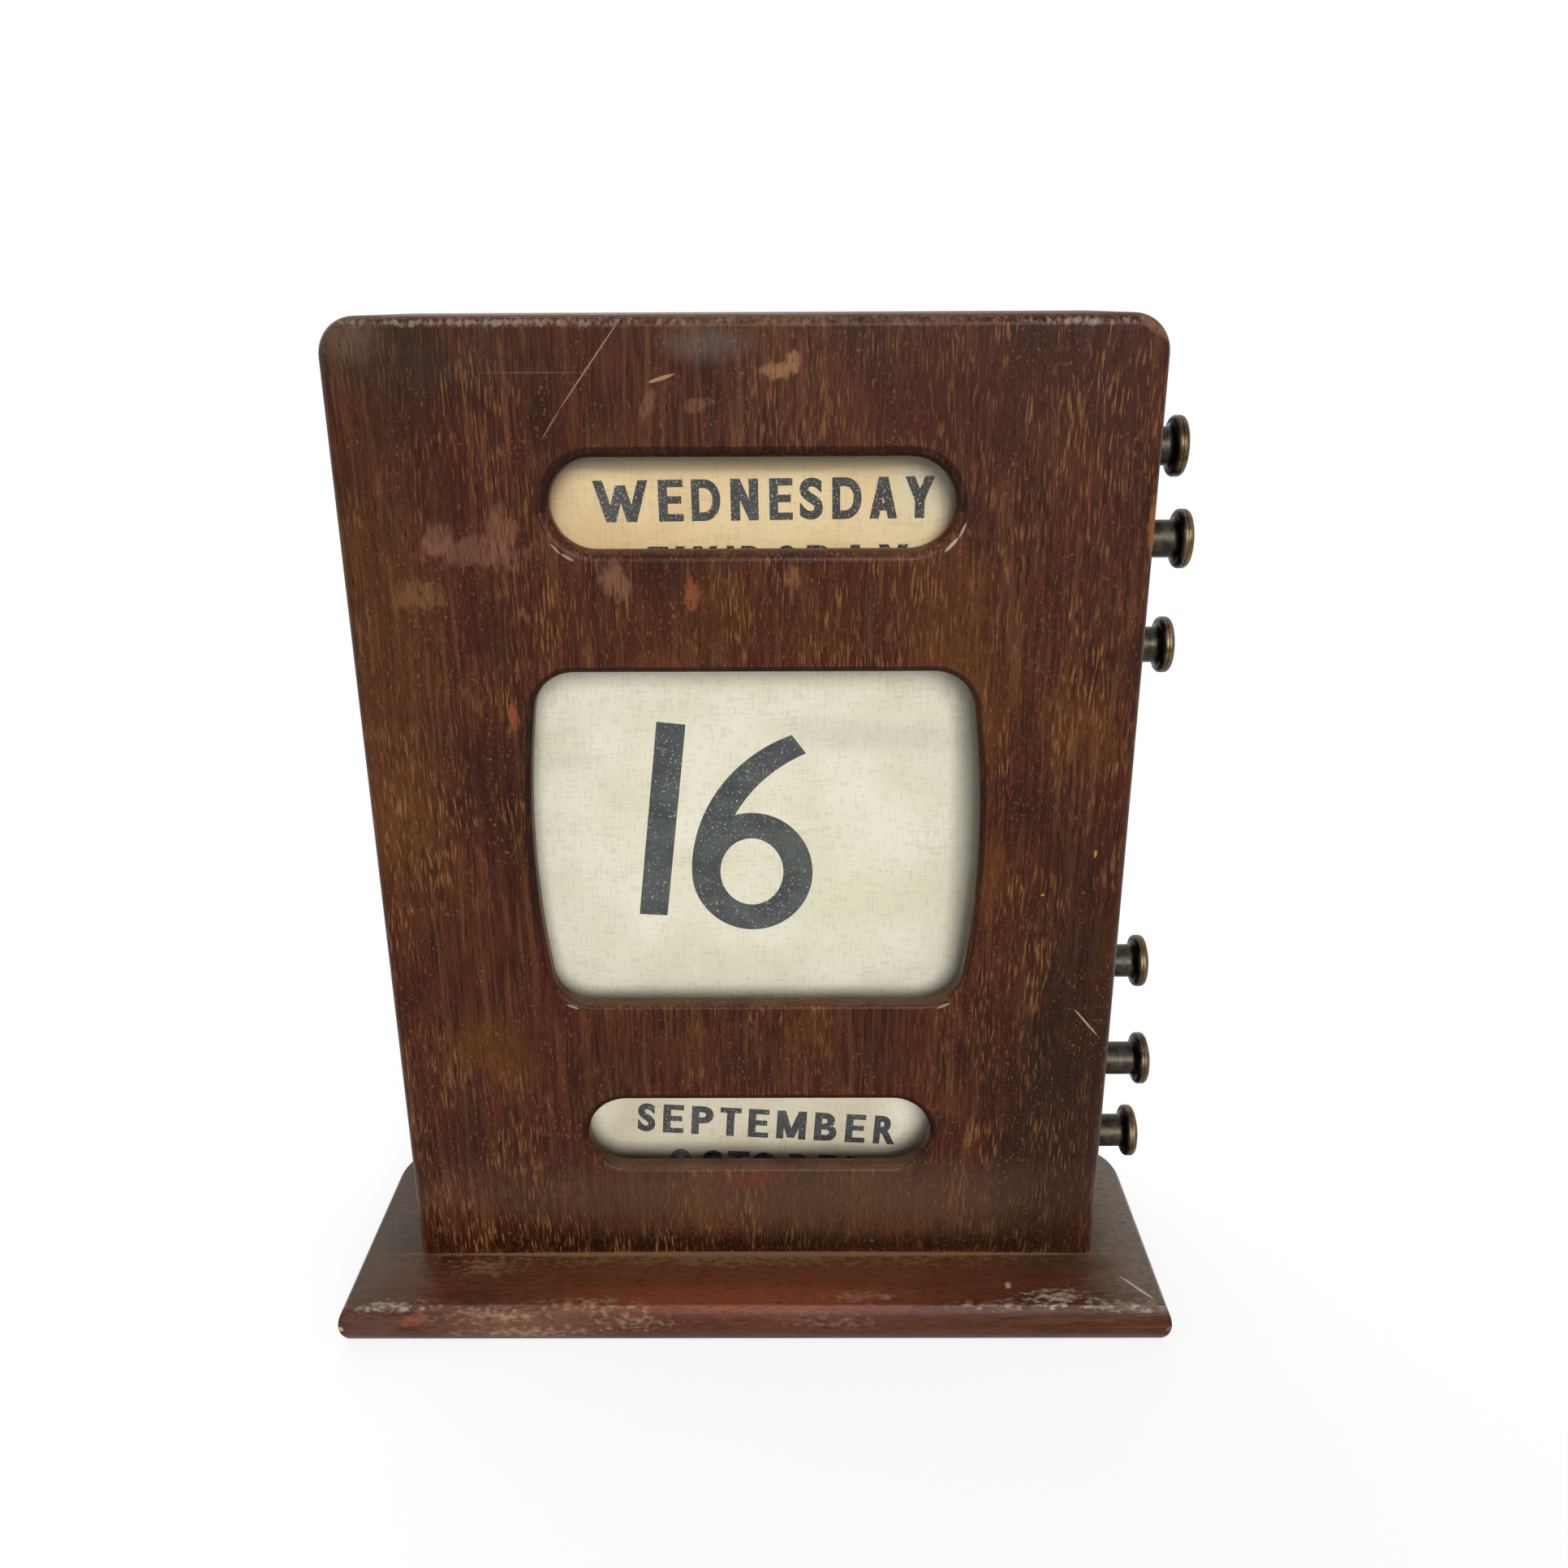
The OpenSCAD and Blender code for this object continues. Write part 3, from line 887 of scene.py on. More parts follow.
@dataclass
class Window:
    """Opening in the front board: width, height, middle and the rounding of its lip."""

    width: float
    height: float
    middle_z: float
    lip: float
    shift_x: float = 1.15
    rebate: float = 4.0

    def outline(self, grow: float, y: float) -> Outline:
        """Draw the window's outline, grown on all sides, at a depth.

        Args:
            grow: How much larger it is than the window.
            y: The depth.

        Returns:
            The filled outline.
        """
        r, x, z = self.height / 2 + grow, self.width / 2 - self.height / 2, self.middle_z
        left, right = self.shift_x - x, self.shift_x + x
        line = Outline("window_cutter", Plane.FRONT, (left, z - r), y)
        line.line((right, z - r)).arc((right, z), 180, steps=24)
        return line.line((left, z + r)).arc((left, z), 180, steps=24).fill()

    def cutter(self, front_y: float, back_y: float) -> Piece:
        """Return the tool that cuts the window with its rounded lip.

        Args:
            front_y: Front of the board.
            back_y: Back of the board.

        Returns:
            The tool.
        """
        line = self.outline(self.lip, front_y - PAST)
        push(0, PAST, 0)
        select_end(line.piece, 0, 1, 0)
        inset(flare(self.lip, 7))
        push(0, back_y - front_y, 0)
        return line.finish()

    def rebate_cutter(self, pane_y: float, back_y: float) -> Piece:
        """Return the tool that cuts the step in which the pane lies.

        Args:
            pane_y: Front of the pane.
            back_y: Back of the board.

        Returns:
            The tool.
        """
        half_w, half_h = self.width / 2 + self.rebate, self.height / 2 + self.rebate
        return block(
            "rebate_cutter",
            (self.shift_x - half_w, pane_y, self.middle_z - half_h),
            (self.shift_x + half_w, back_y + PAST, self.middle_z + half_h),
        )


@dataclass
class BowedWindow(Window):
    """Opening with bowed sides that flow into its round corners."""

    corner_r: float = 8.2
    side_r: float = 205.2

    def outline(self, grow: float, y: float) -> Outline:
        """Draw the window's outline, grown on all sides, at a depth.

        Args:
            grow: How much larger it is than the window.
            y: The depth.

        Returns:
            The filled outline.
        """
        side_x = self.width / 2 - self.side_r
        up = self.height / 2 - self.corner_r
        along = math.sqrt((self.side_r - self.corner_r) ** 2 - up**2)
        corner_x, lean = side_x + along, math.degrees(math.atan2(up, along))
        r, x0, z0 = self.corner_r + grow, self.shift_x, self.middle_z
        line = Outline("window_cutter", Plane.FRONT, (x0 - corner_x, z0 - up - r), y)
        for side in (1, -1):
            line.line((x0 + side * corner_x, z0 - side * up - side * r))
            line.arc((x0 + side * corner_x, z0 - side * up), 90 - lean, steps=12)
            line.arc((x0 + side * side_x, z0), 2 * lean, steps=16)
            line.arc((x0 + side * corner_x, z0 + side * up), 90 - lean, steps=12)
        return line.fill()


@dataclass
class Case:
    """Upright case of five mahogany boards, with three windows in the front one."""

    width: float = 152.4
    foot_z: float = 9.5
    top_z: float = 211.0
    front_y: float = -13.3
    box_y: float = -6.9
    back_y: float = 25.5
    end_y: float = 29.5
    side_t: float = 7.5
    top_t: float = 8.0
    corner_r: float = 7.0
    arris_r: float = 2.2
    back_arris: float = 0.4
    edge_w: float = 0.2
    cut_off: float = 5.0
    skin: float = 0.01
    sill_tilt: float = 0.05
    glass_t: float = 3.0
    bore_r: float = 3.78
    windows: dict[str, Window] = field(
        default_factory=lambda: {
            "day": Window(75.6, 17.0, 177.7, 2.1),
            "date": BowedWindow(90.0, 72.4, 109.6, 1.2),
            "month": Window(74.8, 17.2, 41.4, 1.5),
        }
    )

    def board(self, name: str, y: float, foot_z: float) -> Outline:
        """Draw an upright board's outline with its round top corners.

        Args:
            name: Name of the new object.
            y: Depth of the drawing.
            foot_z: Height of its foot.

        Returns:
            The filled outline.
        """
        w, r = self.width / 2, self.corner_r
        line = Outline(name, Plane.FRONT, (-w, foot_z), y)
        line.line((w, foot_z), (w, self.top_z - r)).arc((w - r, self.top_z - r), 90, steps=12)
        line.line((r - w, self.top_z)).arc((r - w, self.top_z - r), 90, steps=12)
        return line.fill()

    def front(self) -> Piece:
        """Make the front board, rounded along its front edges, with its windows.

        Returns:
            The board.
        """
        # the rounding would also run along the foot, so the board starts lower and is cut off
        line = self.board("front_board", self.box_y, self.foot_z - self.cut_off)
        push(0, self.front_y + self.arris_r - self.box_y, 0)
        select_end(line.piece, 0, -1, 0)
        inset(quarter(self.arris_r, 8))
        bpy.ops.mesh.select_all(action="SELECT")
        bpy.ops.mesh.bisect(
            plane_co=metres(0, 0, self.foot_z), plane_no=(0, 0, -1), clear_outer=True, use_fill=True
        )
        front = line.finish()
        pane_y = self.box_y - self.glass_t
        for window in self.windows.values():
            cut(front, window.cutter(self.front_y, self.box_y), window.rebate_cutter(pane_y, self.box_y))
        return smooth(front)

    def mark_lips(self, front: Piece) -> None:
        """Give the windows' lips the darker finish that paints their shade in, all but the up-facing
        sills, which keep the lit finish.

        Args:
            front: The front board, with the lips' painted-shade finish in its second slot.
        """
        reach, top = self.width / 2 - 2 * self.arris_r, self.top_z - 2 * self.arris_r
        for face in front.data.polygons:
            x, y, z = face.center / MM
            inside = abs(x) < reach and z < top and y > self.front_y + self.skin
            # lips that don't face up take the darker copy of the wood, which is painted shade
            face.material_index = int(inside and face.normal.z < self.sill_tilt)

    def sides(self, bores: Sequence[Point]) -> tuple[Piece, Piece]:
        """Make the two side boards.

        Args:
            bores: Middle, in y and z, of each hole for a knob's rod.

        Returns:
            The left board and the right board.
        """
        w, top = self.width / 2, self.top_z - self.top_t
        left, right = (
            block(name, (x, self.box_y, self.foot_z), (x + self.side_t, self.back_y, top), self.edge_w)
            for name, x in (("left_board", -w), ("right_board", w - self.side_t))
        )
        for middle in bores:
            bore = disc("bore", Plane.SECTION, middle, self.bore_r, w - self.side_t - PAST, steps=48)
            push(self.side_t + 2 * PAST, 0, 0)
            cut(right, bore.finish())
        return smooth(left), smooth(right)

    def top(self) -> Piece:
        """Make the top board, round at both ends to match the front and the back.

        Returns:
            The board.
        """
        line = self.board("top_board", self.box_y, self.top_z - self.top_t)
        push(0, self.back_y - self.box_y, 0)
        return smooth(line.finish())

    def back(self, screws: Sequence[Point], hole_r: float, sink: float) -> Piece:
        """Make the back board with its countersunk screw holes.

        Args:
            screws: Middle, in x and z, of each hole.
            hole_r: Radius of a hole at its mouth.
            sink: Depth over which it narrows to half that.

        Returns:
            The board.
        """
        line = self.board("back_board", self.back_y, self.foot_z)
        push(0, self.end_y - self.back_y - self.back_arris, 0)
        select_end(line.piece, 0, 1, 0)
        inset(quarter(self.back_arris, 3))
        back = line.finish()
        for middle in screws:
            tool = disc("hole", Plane.FRONT, middle, hole_r, self.end_y + PAST, steps=32)
            push(0, -PAST, 0)
            select_end(tool.piece, 0, -1, 0)
            inset([(hole_r / 2, sink)])
            push(0, self.back_y - self.end_y - PAST + sink, 0)
            cut(back, tool.finish())
        return smooth(back)


@dataclass
class BaseBoard:
    """Moulded base board: mitred in front, round behind, its edge swelling in one arc."""

    width: float = 180.5
    depth: float = 61.0
    thickness: float = 9.5
    corner_r: float = 12.5
    bevel_w: float = 7.0
    bevel_drop: float = 0.8
    arris: Point = (0.25, 0.14)
    edge_r: float = 7.2
    swell_z: float = 4.275
    first_rise: float = 0.05
    steps: int = 8

    def swell(self, z: float) -> float:
        """Return how far the edge stands back from its fullest line at a height."""
        return self.edge_r - math.sqrt(self.edge_r**2 - (z - self.swell_z) ** 2)

    def build(self) -> Piece:
        """Make the board from its fullest outline, up to the flat top and down to the foot.

        Returns:
            The board.
        """
        w, d, r = self.width / 2, self.depth / 2, self.corner_r
        line = Outline("base_board", Plane.PLAN, (-w, -d), self.swell_z)
        line.line((w, -d), (w, d - r)).arc((w - r, d - r), 90, steps=16)
        line.line((r - w, d)).arc((r - w, d - r), 90, steps=16).fill()
        push(0, 0, self.first_rise)
        select_end(line.piece, 0, 0, 1)
        arris_z = self.thickness - self.bevel_drop
        part = [i / self.steps for i in range(self.steps + 1)]
        rise = [self.swell_z + (arris_z - self.swell_z) * share for share in part]
        rise[0] += self.first_rise
        inset(differences([(self.swell(z), z) for z in rise]))
        arris_w, arris_h = self.arris
        inset([self.arris, (self.bevel_w - arris_w, self.bevel_drop - arris_h)])
        select_end(line.piece, 0, 0, -1)
        fall = [self.swell_z * (1 - share) for share in part]
        inset(differences([(self.swell(z), self.swell_z - z) for z in fall]))
        return smooth(line.finish(), degrees=6)


# ---- turned and driven metal ----


@dataclass
class Knob:
    """Turned knob on its rod: a hollow cove, a rim with a fine line, and a low dome."""

    rod_r: float = 3.7
    rod_l: float = 30.0
    cove_r: float = 1.1
    head_r: float = 5.825
    rim_t: float = 2.6
    rim_edge: float = 0.9
    rod_edge: float = 0.3
    rub_w: float = 0.6
    groove_r: float = 0.15
    dome_h: float = 0.9
    finishes: tuple[AgedBrass, AgedBrass] = (
        AgedBrass("brass_patina", "#2a2721", "#423d34", "#504a40", rough=0.34),
        AgedBrass("brass_rubbed", "#43372a", "#6c583f", "#947a58", rough=0.3),
    )

    def build(self, name: str, at: Triple) -> Piece:
        """Turn one knob.

        Args:
            name: Name of the new object.
            at: Place of the back of its head, on its axis.

        Returns:
            The knob.
        """
        x, y, z = at
        flat_r, far = self.head_r - self.rim_edge, self.rim_t - self.rim_edge
        dome_r = (flat_r**2 + self.dome_h**2) / (2 * self.dome_h)
        line = Outline(name, Plane.FRONT, (x - self.rod_l, z), y)
        line.line(
            (x - self.rod_l, z + self.rod_r - self.rod_edge),
            (x - self.rod_l + self.rod_edge, z + self.rod_r),
        )
        line.line((x - self.cove_r, z + self.rod_r))
        line.arc((x - self.cove_r, z + self.rod_r + self.cove_r), 90, steps=8)
        line.line((x, z + flat_r)).arc((x + self.rim_edge, z + flat_r), -90, steps=5)
        line.line((x + self.rim_t / 2 - self.groove_r, z + self.head_r))
        line.arc((x + self.rim_t / 2, z + self.head_r), 180, steps=6)
        line.line((x + far, z + self.head_r)).arc((x + far, z + flat_r), -90, steps=5)
        sweep = math.degrees(math.asin(flat_r / dome_r))
        line.arc((x + self.rim_t + self.dome_h - dome_r, z), -sweep, steps=6)
        bpy.ops.mesh.select_all(action="SELECT")
        bpy.ops.mesh.spin(
            steps=64, angle=math.tau, center=metres(x, y, z), axis=(1, 0, 0), use_auto_merge=True
        )
        knob = smooth(line.finish(), degrees=40)
        for finish in self.finishes:
            knob.data.materials.append(finish.make())
        for face in knob.data.polygons:
            middle = face.center / MM - Vector(at)
            rubbed = middle.x > self.rim_edge and middle.yz.length > flat_r - self.rub_w
            face.material_index = int(rubbed)
        return knob


@dataclass
class SlottedScrew:
    """Countersunk wood screw with a slotted head, flat side at the origin, along +z."""

    shank_d: float
    length: float
    slot_w: float = 0.5
    slot_depth: float = 0.5
    rim: float = 0.1
    taper: float = 0.6

    def build(self, name: str) -> Piece:
        """Turn one screw and cut its slot.

        Args:
            name: Name of the new object.

        Returns:
            The screw.
        """
        d = self.shank_d
        line = Outline(name, Plane.FRONT, (0, 0))
        line.line((d - self.rim, 0), (d, self.rim), (d / 2, self.taper * d))
        line.line((d / 2, self.length - d), (0, self.length))
        bpy.ops.mesh.select_all(action="SELECT")
        bpy.ops.mesh.spin(steps=32, angle=math.tau, center=(0, 0, 0), axis=(0, 0, 1))
        screw = line.finish()
        half = self.slot_w / 2
        cut(screw, block("slot", (-2 * d, -half, -PAST), (2 * d, half, self.slot_depth)))
        return smooth(screw, degrees=35)

    def set_of(self, name: str, places: Sequence[Matrix]) -> Piece:
        """Make a set of screws in one piece, one at each place.

        Args:
            name: Name of the piece.
            places: Where each screw goes.

        Returns:
            The piece.
        """
        first = self.build(name)
        copies = []
        for place in places:
            copy = moved_copy(first, name, (0, 0, 0))
            copy.data.transform(place)
            copies.append(copy)
        bpy.data.objects.remove(first)
        return join(name, copies)


# ---- cloths and lettering ----


@dataclass(frozen=True)
class Bar:
    """Straight stroke of a letter in a unit box, level if its two ends are at one height."""

    x0: float
    z0: float
    x1: float
    z1: float

    def corners(self, pen: float, level_pen: float) -> list[Point]:
        """Return the stroke's four corners.

        Args:
            pen: Width of upright and slanting strokes, measured sideways.
            level_pen: Height of level strokes.

        Returns:
            Corners in the unit box, in order round it.
        """
        reach, (x0, x1) = 1 - pen, (pen / 2 + x * (1 - pen) for x in (self.x0, self.x1))
        if self.z0 == self.z1:
            low = self.z0 * (1 - level_pen)
            left, right = self.x0 * reach, pen + self.x1 * reach
            return [(left, low), (right, low), (right, low + level_pen), (left, low + level_pen)]
        return [
            (x0 - pen / 2, self.z0), (x0 + pen / 2, self.z0),
            (x1 + pen / 2, self.z1), (x1 - pen / 2, self.z1),
        ]


LEFT_STEM = Bar(0, 0, 0, 1)
RIGHT_STEM = Bar(1, 0, 1, 1)
# letters without curves: the width of their strokes, and the strokes
STRAIGHT = {
    "E": (0.37, (LEFT_STEM, Bar(0, 0, 1, 0), Bar(0, 0.52, 0.88, 0.52), Bar(0, 1, 1, 1))),
    "T": (0.36, (Bar(0.5, 0, 0.5, 1), Bar(0, 1, 1, 1))),
    "H": (0.34, (LEFT_STEM, RIGHT_STEM, Bar(0, 0.5, 1, 0.5))),
    "N": (0.34, (LEFT_STEM, RIGHT_STEM, Bar(0, 1, 1, 0))),
    "M": (0.25, (LEFT_STEM, RIGHT_STEM, Bar(0.04, 1, 0.5, 0.05), Bar(0.96, 1, 0.5, 0.05))),
    "W": (0.18, (
        Bar(0, 1, 0.27, 0), Bar(0.27, 0, 0.5, 0.88), Bar(0.5, 0.88, 0.73, 0), Bar(0.73, 0, 1, 1),
    )),
    "A": (0.33, (Bar(0, 0, 0.5, 1), Bar(1, 0, 0.5, 1), Bar(0.16, 0.24, 0.84, 0.24))),
    "Y": (0.33, (Bar(0, 1, 0.5, 0.42), Bar(1, 1, 0.5, 0.42), Bar(0.5, 0, 0.5, 0.5))),
}


@dataclass
class Line:
    """Printed word: its foot at x = 0, height and slope, and each letter's left and right side."""

    foot_z: float
    height: float
    slope: float
    word: str
    sides: tuple[float, ...]


@dataclass
class Cloth:
    """Printed cloth stretched between two rollers: each roller's axis and coil radius."""

    name: str
    upper: Triple
    lower: Triple
    width: float = 122.0
    shift_x: float = 1.15
    thickness: float = 0.25
    gap: float = 0.3
    wrap: float = 70.0
    wrap_steps: int = 14
    row_h: float = 1.5
    fewest_rows: int = 6
    columns: int = 12
    ripples: tuple[Triple, ...] = ()

    def ripple(self, z: float) -> float:
        """Return how far the cloth stands forward at a height, where it isn't quite flat."""
        return sum(h * math.exp(-(((z - at) / width) ** 2)) for at, width, h in self.ripples)

    def face_y(self, z: float) -> float:
        """Return the depth of the cloth's front surface at a height.

        Args:
            z: The height.

        Returns:
            Its y.
        """
        (y0, z0, r0), (y1, z1, r1) = self.upper, self.lower
        top, foot = y0 - r0 - self.gap - self.thickness, y1 - r1 - self.gap - self.thickness
        return foot + (top - foot) * (z - z1) / (z0 - z1) - self.ripple(z)

    def band(self) -> Piece:
        """Make the cloth from its section, pulled across its width.

        Returns:
            The cloth.
        """
        (y0, z0, r0), (y1, z1, _) = self.upper, self.lower
        half, turn = self.thickness / 2, math.radians(self.wrap)
        reach = r0 + self.gap + half
        start = (y0 - reach * math.cos(turn), z0 + reach * math.sin(turn))
        line = Outline(self.name, Plane.SECTION, start, self.shift_x - self.width / 2)
        line.arc((y0, z0), self.wrap, self.wrap_steps)
        count = max(self.fewest_rows, round((z0 - z1) / self.row_h))
        for i in range(1, count + 1):
            z = z0 + (z1 - z0) * i / count
            line.line((self.face_y(z) + half, z))
        line.arc((y1, z1), self.wrap, self.wrap_steps)
        bpy.ops.mesh.select_all(action="SELECT")
        for _ in range(self.columns):
            push(self.width / self.columns, 0, 0)
        band = line.finish()
        modify(band, "SOLIDIFY", thickness=self.thickness * MM, offset=0.0)
        return smooth(band, degrees=60)

    def size(self) -> Point:
        """Return the band's flat width and length in metres.

        Returns:
            Width and length.
        """
        (y0, z0, r0), (y1, z1, r1) = self.upper, self.lower
        around = math.radians(self.wrap) * (r0 + r1 + 2 * self.gap + self.thickness)
        return self.width * MM, (around + math.hypot(z0 - z1, y0 - y1)) * MM

    def settle(self, piece: Piece) -> None:
        """Lay a print, drawn at y = 0, on the cloth's front surface, row by row.

        Args:
            piece: The print.
        """
        activate(piece)
        low = min(v.co.z for v in piece.data.vertices) / MM
        high = max(v.co.z for v in piece.data.vertices) / MM
        bpy.ops.object.mode_set(mode="EDIT")
        if self.ripples:
            for i in range(1, int((high - low) / self.row_h)):
                level = metres(0, 0, low + self.row_h * i)
                bpy.ops.mesh.select_all(action="SELECT")
                bpy.ops.mesh.bisect(plane_co=level, plane_no=(0, 0, 1))
        bpy.ops.object.mode_set(mode="OBJECT")
        for vertex in piece.data.vertices:
            vertex.co.y += self.face_y(vertex.co.z / MM) * MM

    def print_row(self, name: str, row: Line, type_case: TypeCase) -> list[Piece]:
        """Set one row of letters in type, each squeezed to its own width.

        Args:
            name: Name for the pieces.
            row: The row.
            type_case: Where the letters come from.

        Returns:
            One object for each letter.
        """
        made = []
        for shape, left, right in zip(row.word, row.sides[::2], row.sides[1::2]):
            size = (right - left, row.height)
            piece = type_case.letter(name, shape, size)
            middle = (left + right) / 2
            foot = row.foot_z + middle * math.tan(math.radians(row.slope))
            piece.data.transform(
                Matrix.Translation(metres(middle, 0, foot))
                @ Matrix.Rotation(-math.radians(row.slope), 4, "Y")
                @ Matrix.Translation(metres(-size[0] / 2, 0, 0))
            )
            made.append(piece)
        return made


@dataclass
class TypeCase:
    """Stock of letters: straight ones built once from bars, curved ones from plain bold type."""

    ink_t: float = 0.06
    box: float = 10.0
    level_pen: float = 0.18
    swell: float = 0.6
    fine: int = 6
    cast: dict[str, Piece] = field(default_factory=dict)

    def letter(self, name: str, shape: str, size: Point) -> Piece:
        """Return a letter of a size, its lower left corner at the origin, facing the front."""
        made = self.straight if shape in STRAIGHT else self.curved
        return made(name, shape, size)

    def straight(self, name: str, shape: str, size: Point) -> Piece:
        """Return a copy of a letter that is built from bars in a square box.

        Args:
            name: Name of the new object.
            shape: The letter.
            size: Its width and height.

        Returns:
            The letter, with its lower left corner at the origin.
        """
        if shape not in self.cast:
            pen, bars = STRAIGHT[shape]
            pieces = []
            for bar in bars:
                corners = [(self.box * x, self.box * z) for x, z in bar.corners(pen, self.level_pen)]
                line = Outline(f"type_{shape}", Plane.FRONT, corners[0], -self.ink_t / 2)
                line.line(*corners[1:]).fill()
                push(0, self.ink_t, 0)
                pieces.append(line.finish())
            cut(*pieces, how="UNION")
            self.cast[shape] = pieces[0]
        copy = moved_copy(self.cast[shape], name, (0, 0, 0))
        copy.data.transform(Matrix.Diagonal((size[0] / self.box, 1, size[1] / self.box, 1)))
        return copy

    def curved(self, name: str, shape: str, size: Point) -> Piece:
        """Return a letter set in type, its strokes swollen until they are bold.

        Args:
            name: Name of the new object.
            shape: The letter.
            size: Its width and height.

        Returns:
            The letter, with its lower left corner at the origin.
        """
        deselect_all()
        bpy.ops.object.text_add()
        text = bpy.context.object
        text.name = name
        text.data.body, text.data.resolution_u = shape, self.fine
        bpy.ops.object.convert(target="CURVE")
        curve = bpy.context.object
        bpy.context.view_layer.update()
        low, high = Vector(curve.bound_box[0]), Vector(curve.bound_box[6])
        swell = self.swell * MM
        across = (size[0] * MM - 2 * swell) / (high.x - low.x)
        upward = (size[1] * MM - 2 * swell) / (high.y - low.y)
        curve.data.transform(Matrix.Translation((-low.x, -low.y, 0)))
        curve.data.transform(Matrix.Diagonal((across, upward, 1, 1)))
        curve.data.offset = swell
        curve.data.extrude = self.ink_t / 2 * MM
        bpy.ops.object.convert(target="MESH")
        mesh = bpy.context.object
        mesh.data.transform(Matrix.Rotation(math.pi / 2, 4, "X"))
        spread = [[v.co[axis] for v in mesh.data.vertices] for axis in (0, 2)]
        left, foot = (min(values) for values in spread)
        wide, tall = (max(values) - min(values) for values in spread)
        mesh.data.transform(Matrix.Translation((-left, 0, -foot)))
        mesh.data.transform(Matrix.Diagonal((size[0] * MM / wide, 1, size[1] * MM / tall, 1)))
        return mesh

    def clear(self) -> None:
        """Put the stock away once everything is printed."""
        for piece in self.cast.values():
            bpy.data.objects.remove(piece)
        self.cast.clear()


@dataclass
class Sixteen:
    """The printed number 16: a plain bar, and a ring with a long curved tail."""

    bar: tuple[Point, ...] = ((-24.45, 88.92), (-18.45, 88.56), (-13.3, 131.67), (-19.24, 132.32))
    ring: Point = (-0.03, 98.7)
    ring_half: Point = (12.85, 13.55)
    eye: Point = (-0.12, 98.8)
    eye_half: Point = (6.7, 7.7)
    tail_outer: tuple[Point, float] = ((20.1, 98.5), 33.0)
    tail_inner: tuple[Point, float] = ((24.47, 96.09), 32.07)
    tip: tuple[Point, Point] = ((8.3, 129.7), (11.35, 125.4))
    tail_start: float = 1.5
    tail_turn: float = 0.33
    tail_root: Point = (-7.5, 6.0)
    ink_t: float = 0.06

    def stroke(self, name: str, line: Outline) -> Piece:
        """Give a filled outline the thickness of a coat of ink.

        Args:
            name: Name of the new object.
            line: The outline.

        Returns:
            The stroke, round y = 0.
        """
        push(0, self.ink_t, 0)
        piece = line.finish()
        piece.name = name
        piece.data.transform(Matrix.Translation(metres(0, -self.ink_t / 2, 0)))
        return piece

    def oval(self, name: str, middle: Point, half: Point, level: float, depth: float) -> Piece:
        """Make an upright oval disc.

        Args:
            name: Name of the new object.
            middle: Its middle, in x and z.
            half: Half its width and half its height.
            level: Where it starts along y.
            depth: How thick it is.

        Returns:
            The disc.
        """
        line = disc(name, Plane.FRONT, middle, half[0], level, steps=64)
        push(0, depth, 0)
        oval = line.finish()
        centre = Matrix.Translation(metres(middle[0], 0, middle[1]))
        stretch = Matrix.Diagonal((1, 1, half[1] / half[0], 1))
        oval.data.transform(centre @ stretch @ centre.inverted())
        return oval

    def tail(self) -> Outline:
        """Draw the tail of the 6, from the ring's left side to the tip and back.

        Returns:
            The filled outline.
        """
        (ox, oz), outer_r = self.tail_outer
        (ix, iz), inner_r = self.tail_inner
        low = math.pi - math.asin((self.ring[1] + self.tail_start - oz) / outer_r)
        start = (ox + outer_r * math.cos(low), oz + outer_r * math.sin(low))
        top = math.atan2(self.tip[0][1] - oz, self.tip[0][0] - ox)
        line = Outline("tail", Plane.FRONT, start)
        line.arc((ox, oz), math.degrees(top - low), steps=24)
        from_tip = math.atan2(self.tip[1][1] - iz, self.tip[1][0] - ix)
        edge = (ix + inner_r * math.cos(from_tip), iz + inner_r * math.sin(from_tip))
        line.line(edge)
        line.arc((ix, iz), math.degrees(math.pi - self.tail_turn - from_tip), steps=20)
        line.line((self.ring[0] + self.tail_root[0], self.ring[1] + self.tail_root[1]))
        return line.fill()

    def build(self, name: str) -> Piece:
        """Make the number, drawn at y = 0.

        Args:
            name: Name of the new object.

        Returns:
            The number.
        """
        line = Outline(name, Plane.FRONT, self.bar[0])
        bar = self.stroke(name, line.line(*self.bar[1:]).fill())
        ring = self.oval("ring", self.ring, self.ring_half, -self.ink_t / 2, self.ink_t)
        tail = self.stroke("tail", self.tail())
        cut(ring, tail, how="UNION")
        cut(ring, self.oval("eye", self.eye, self.eye_half, -PAST, 2 * PAST))
        return join(name, [bar, ring])


# ---- studio ----


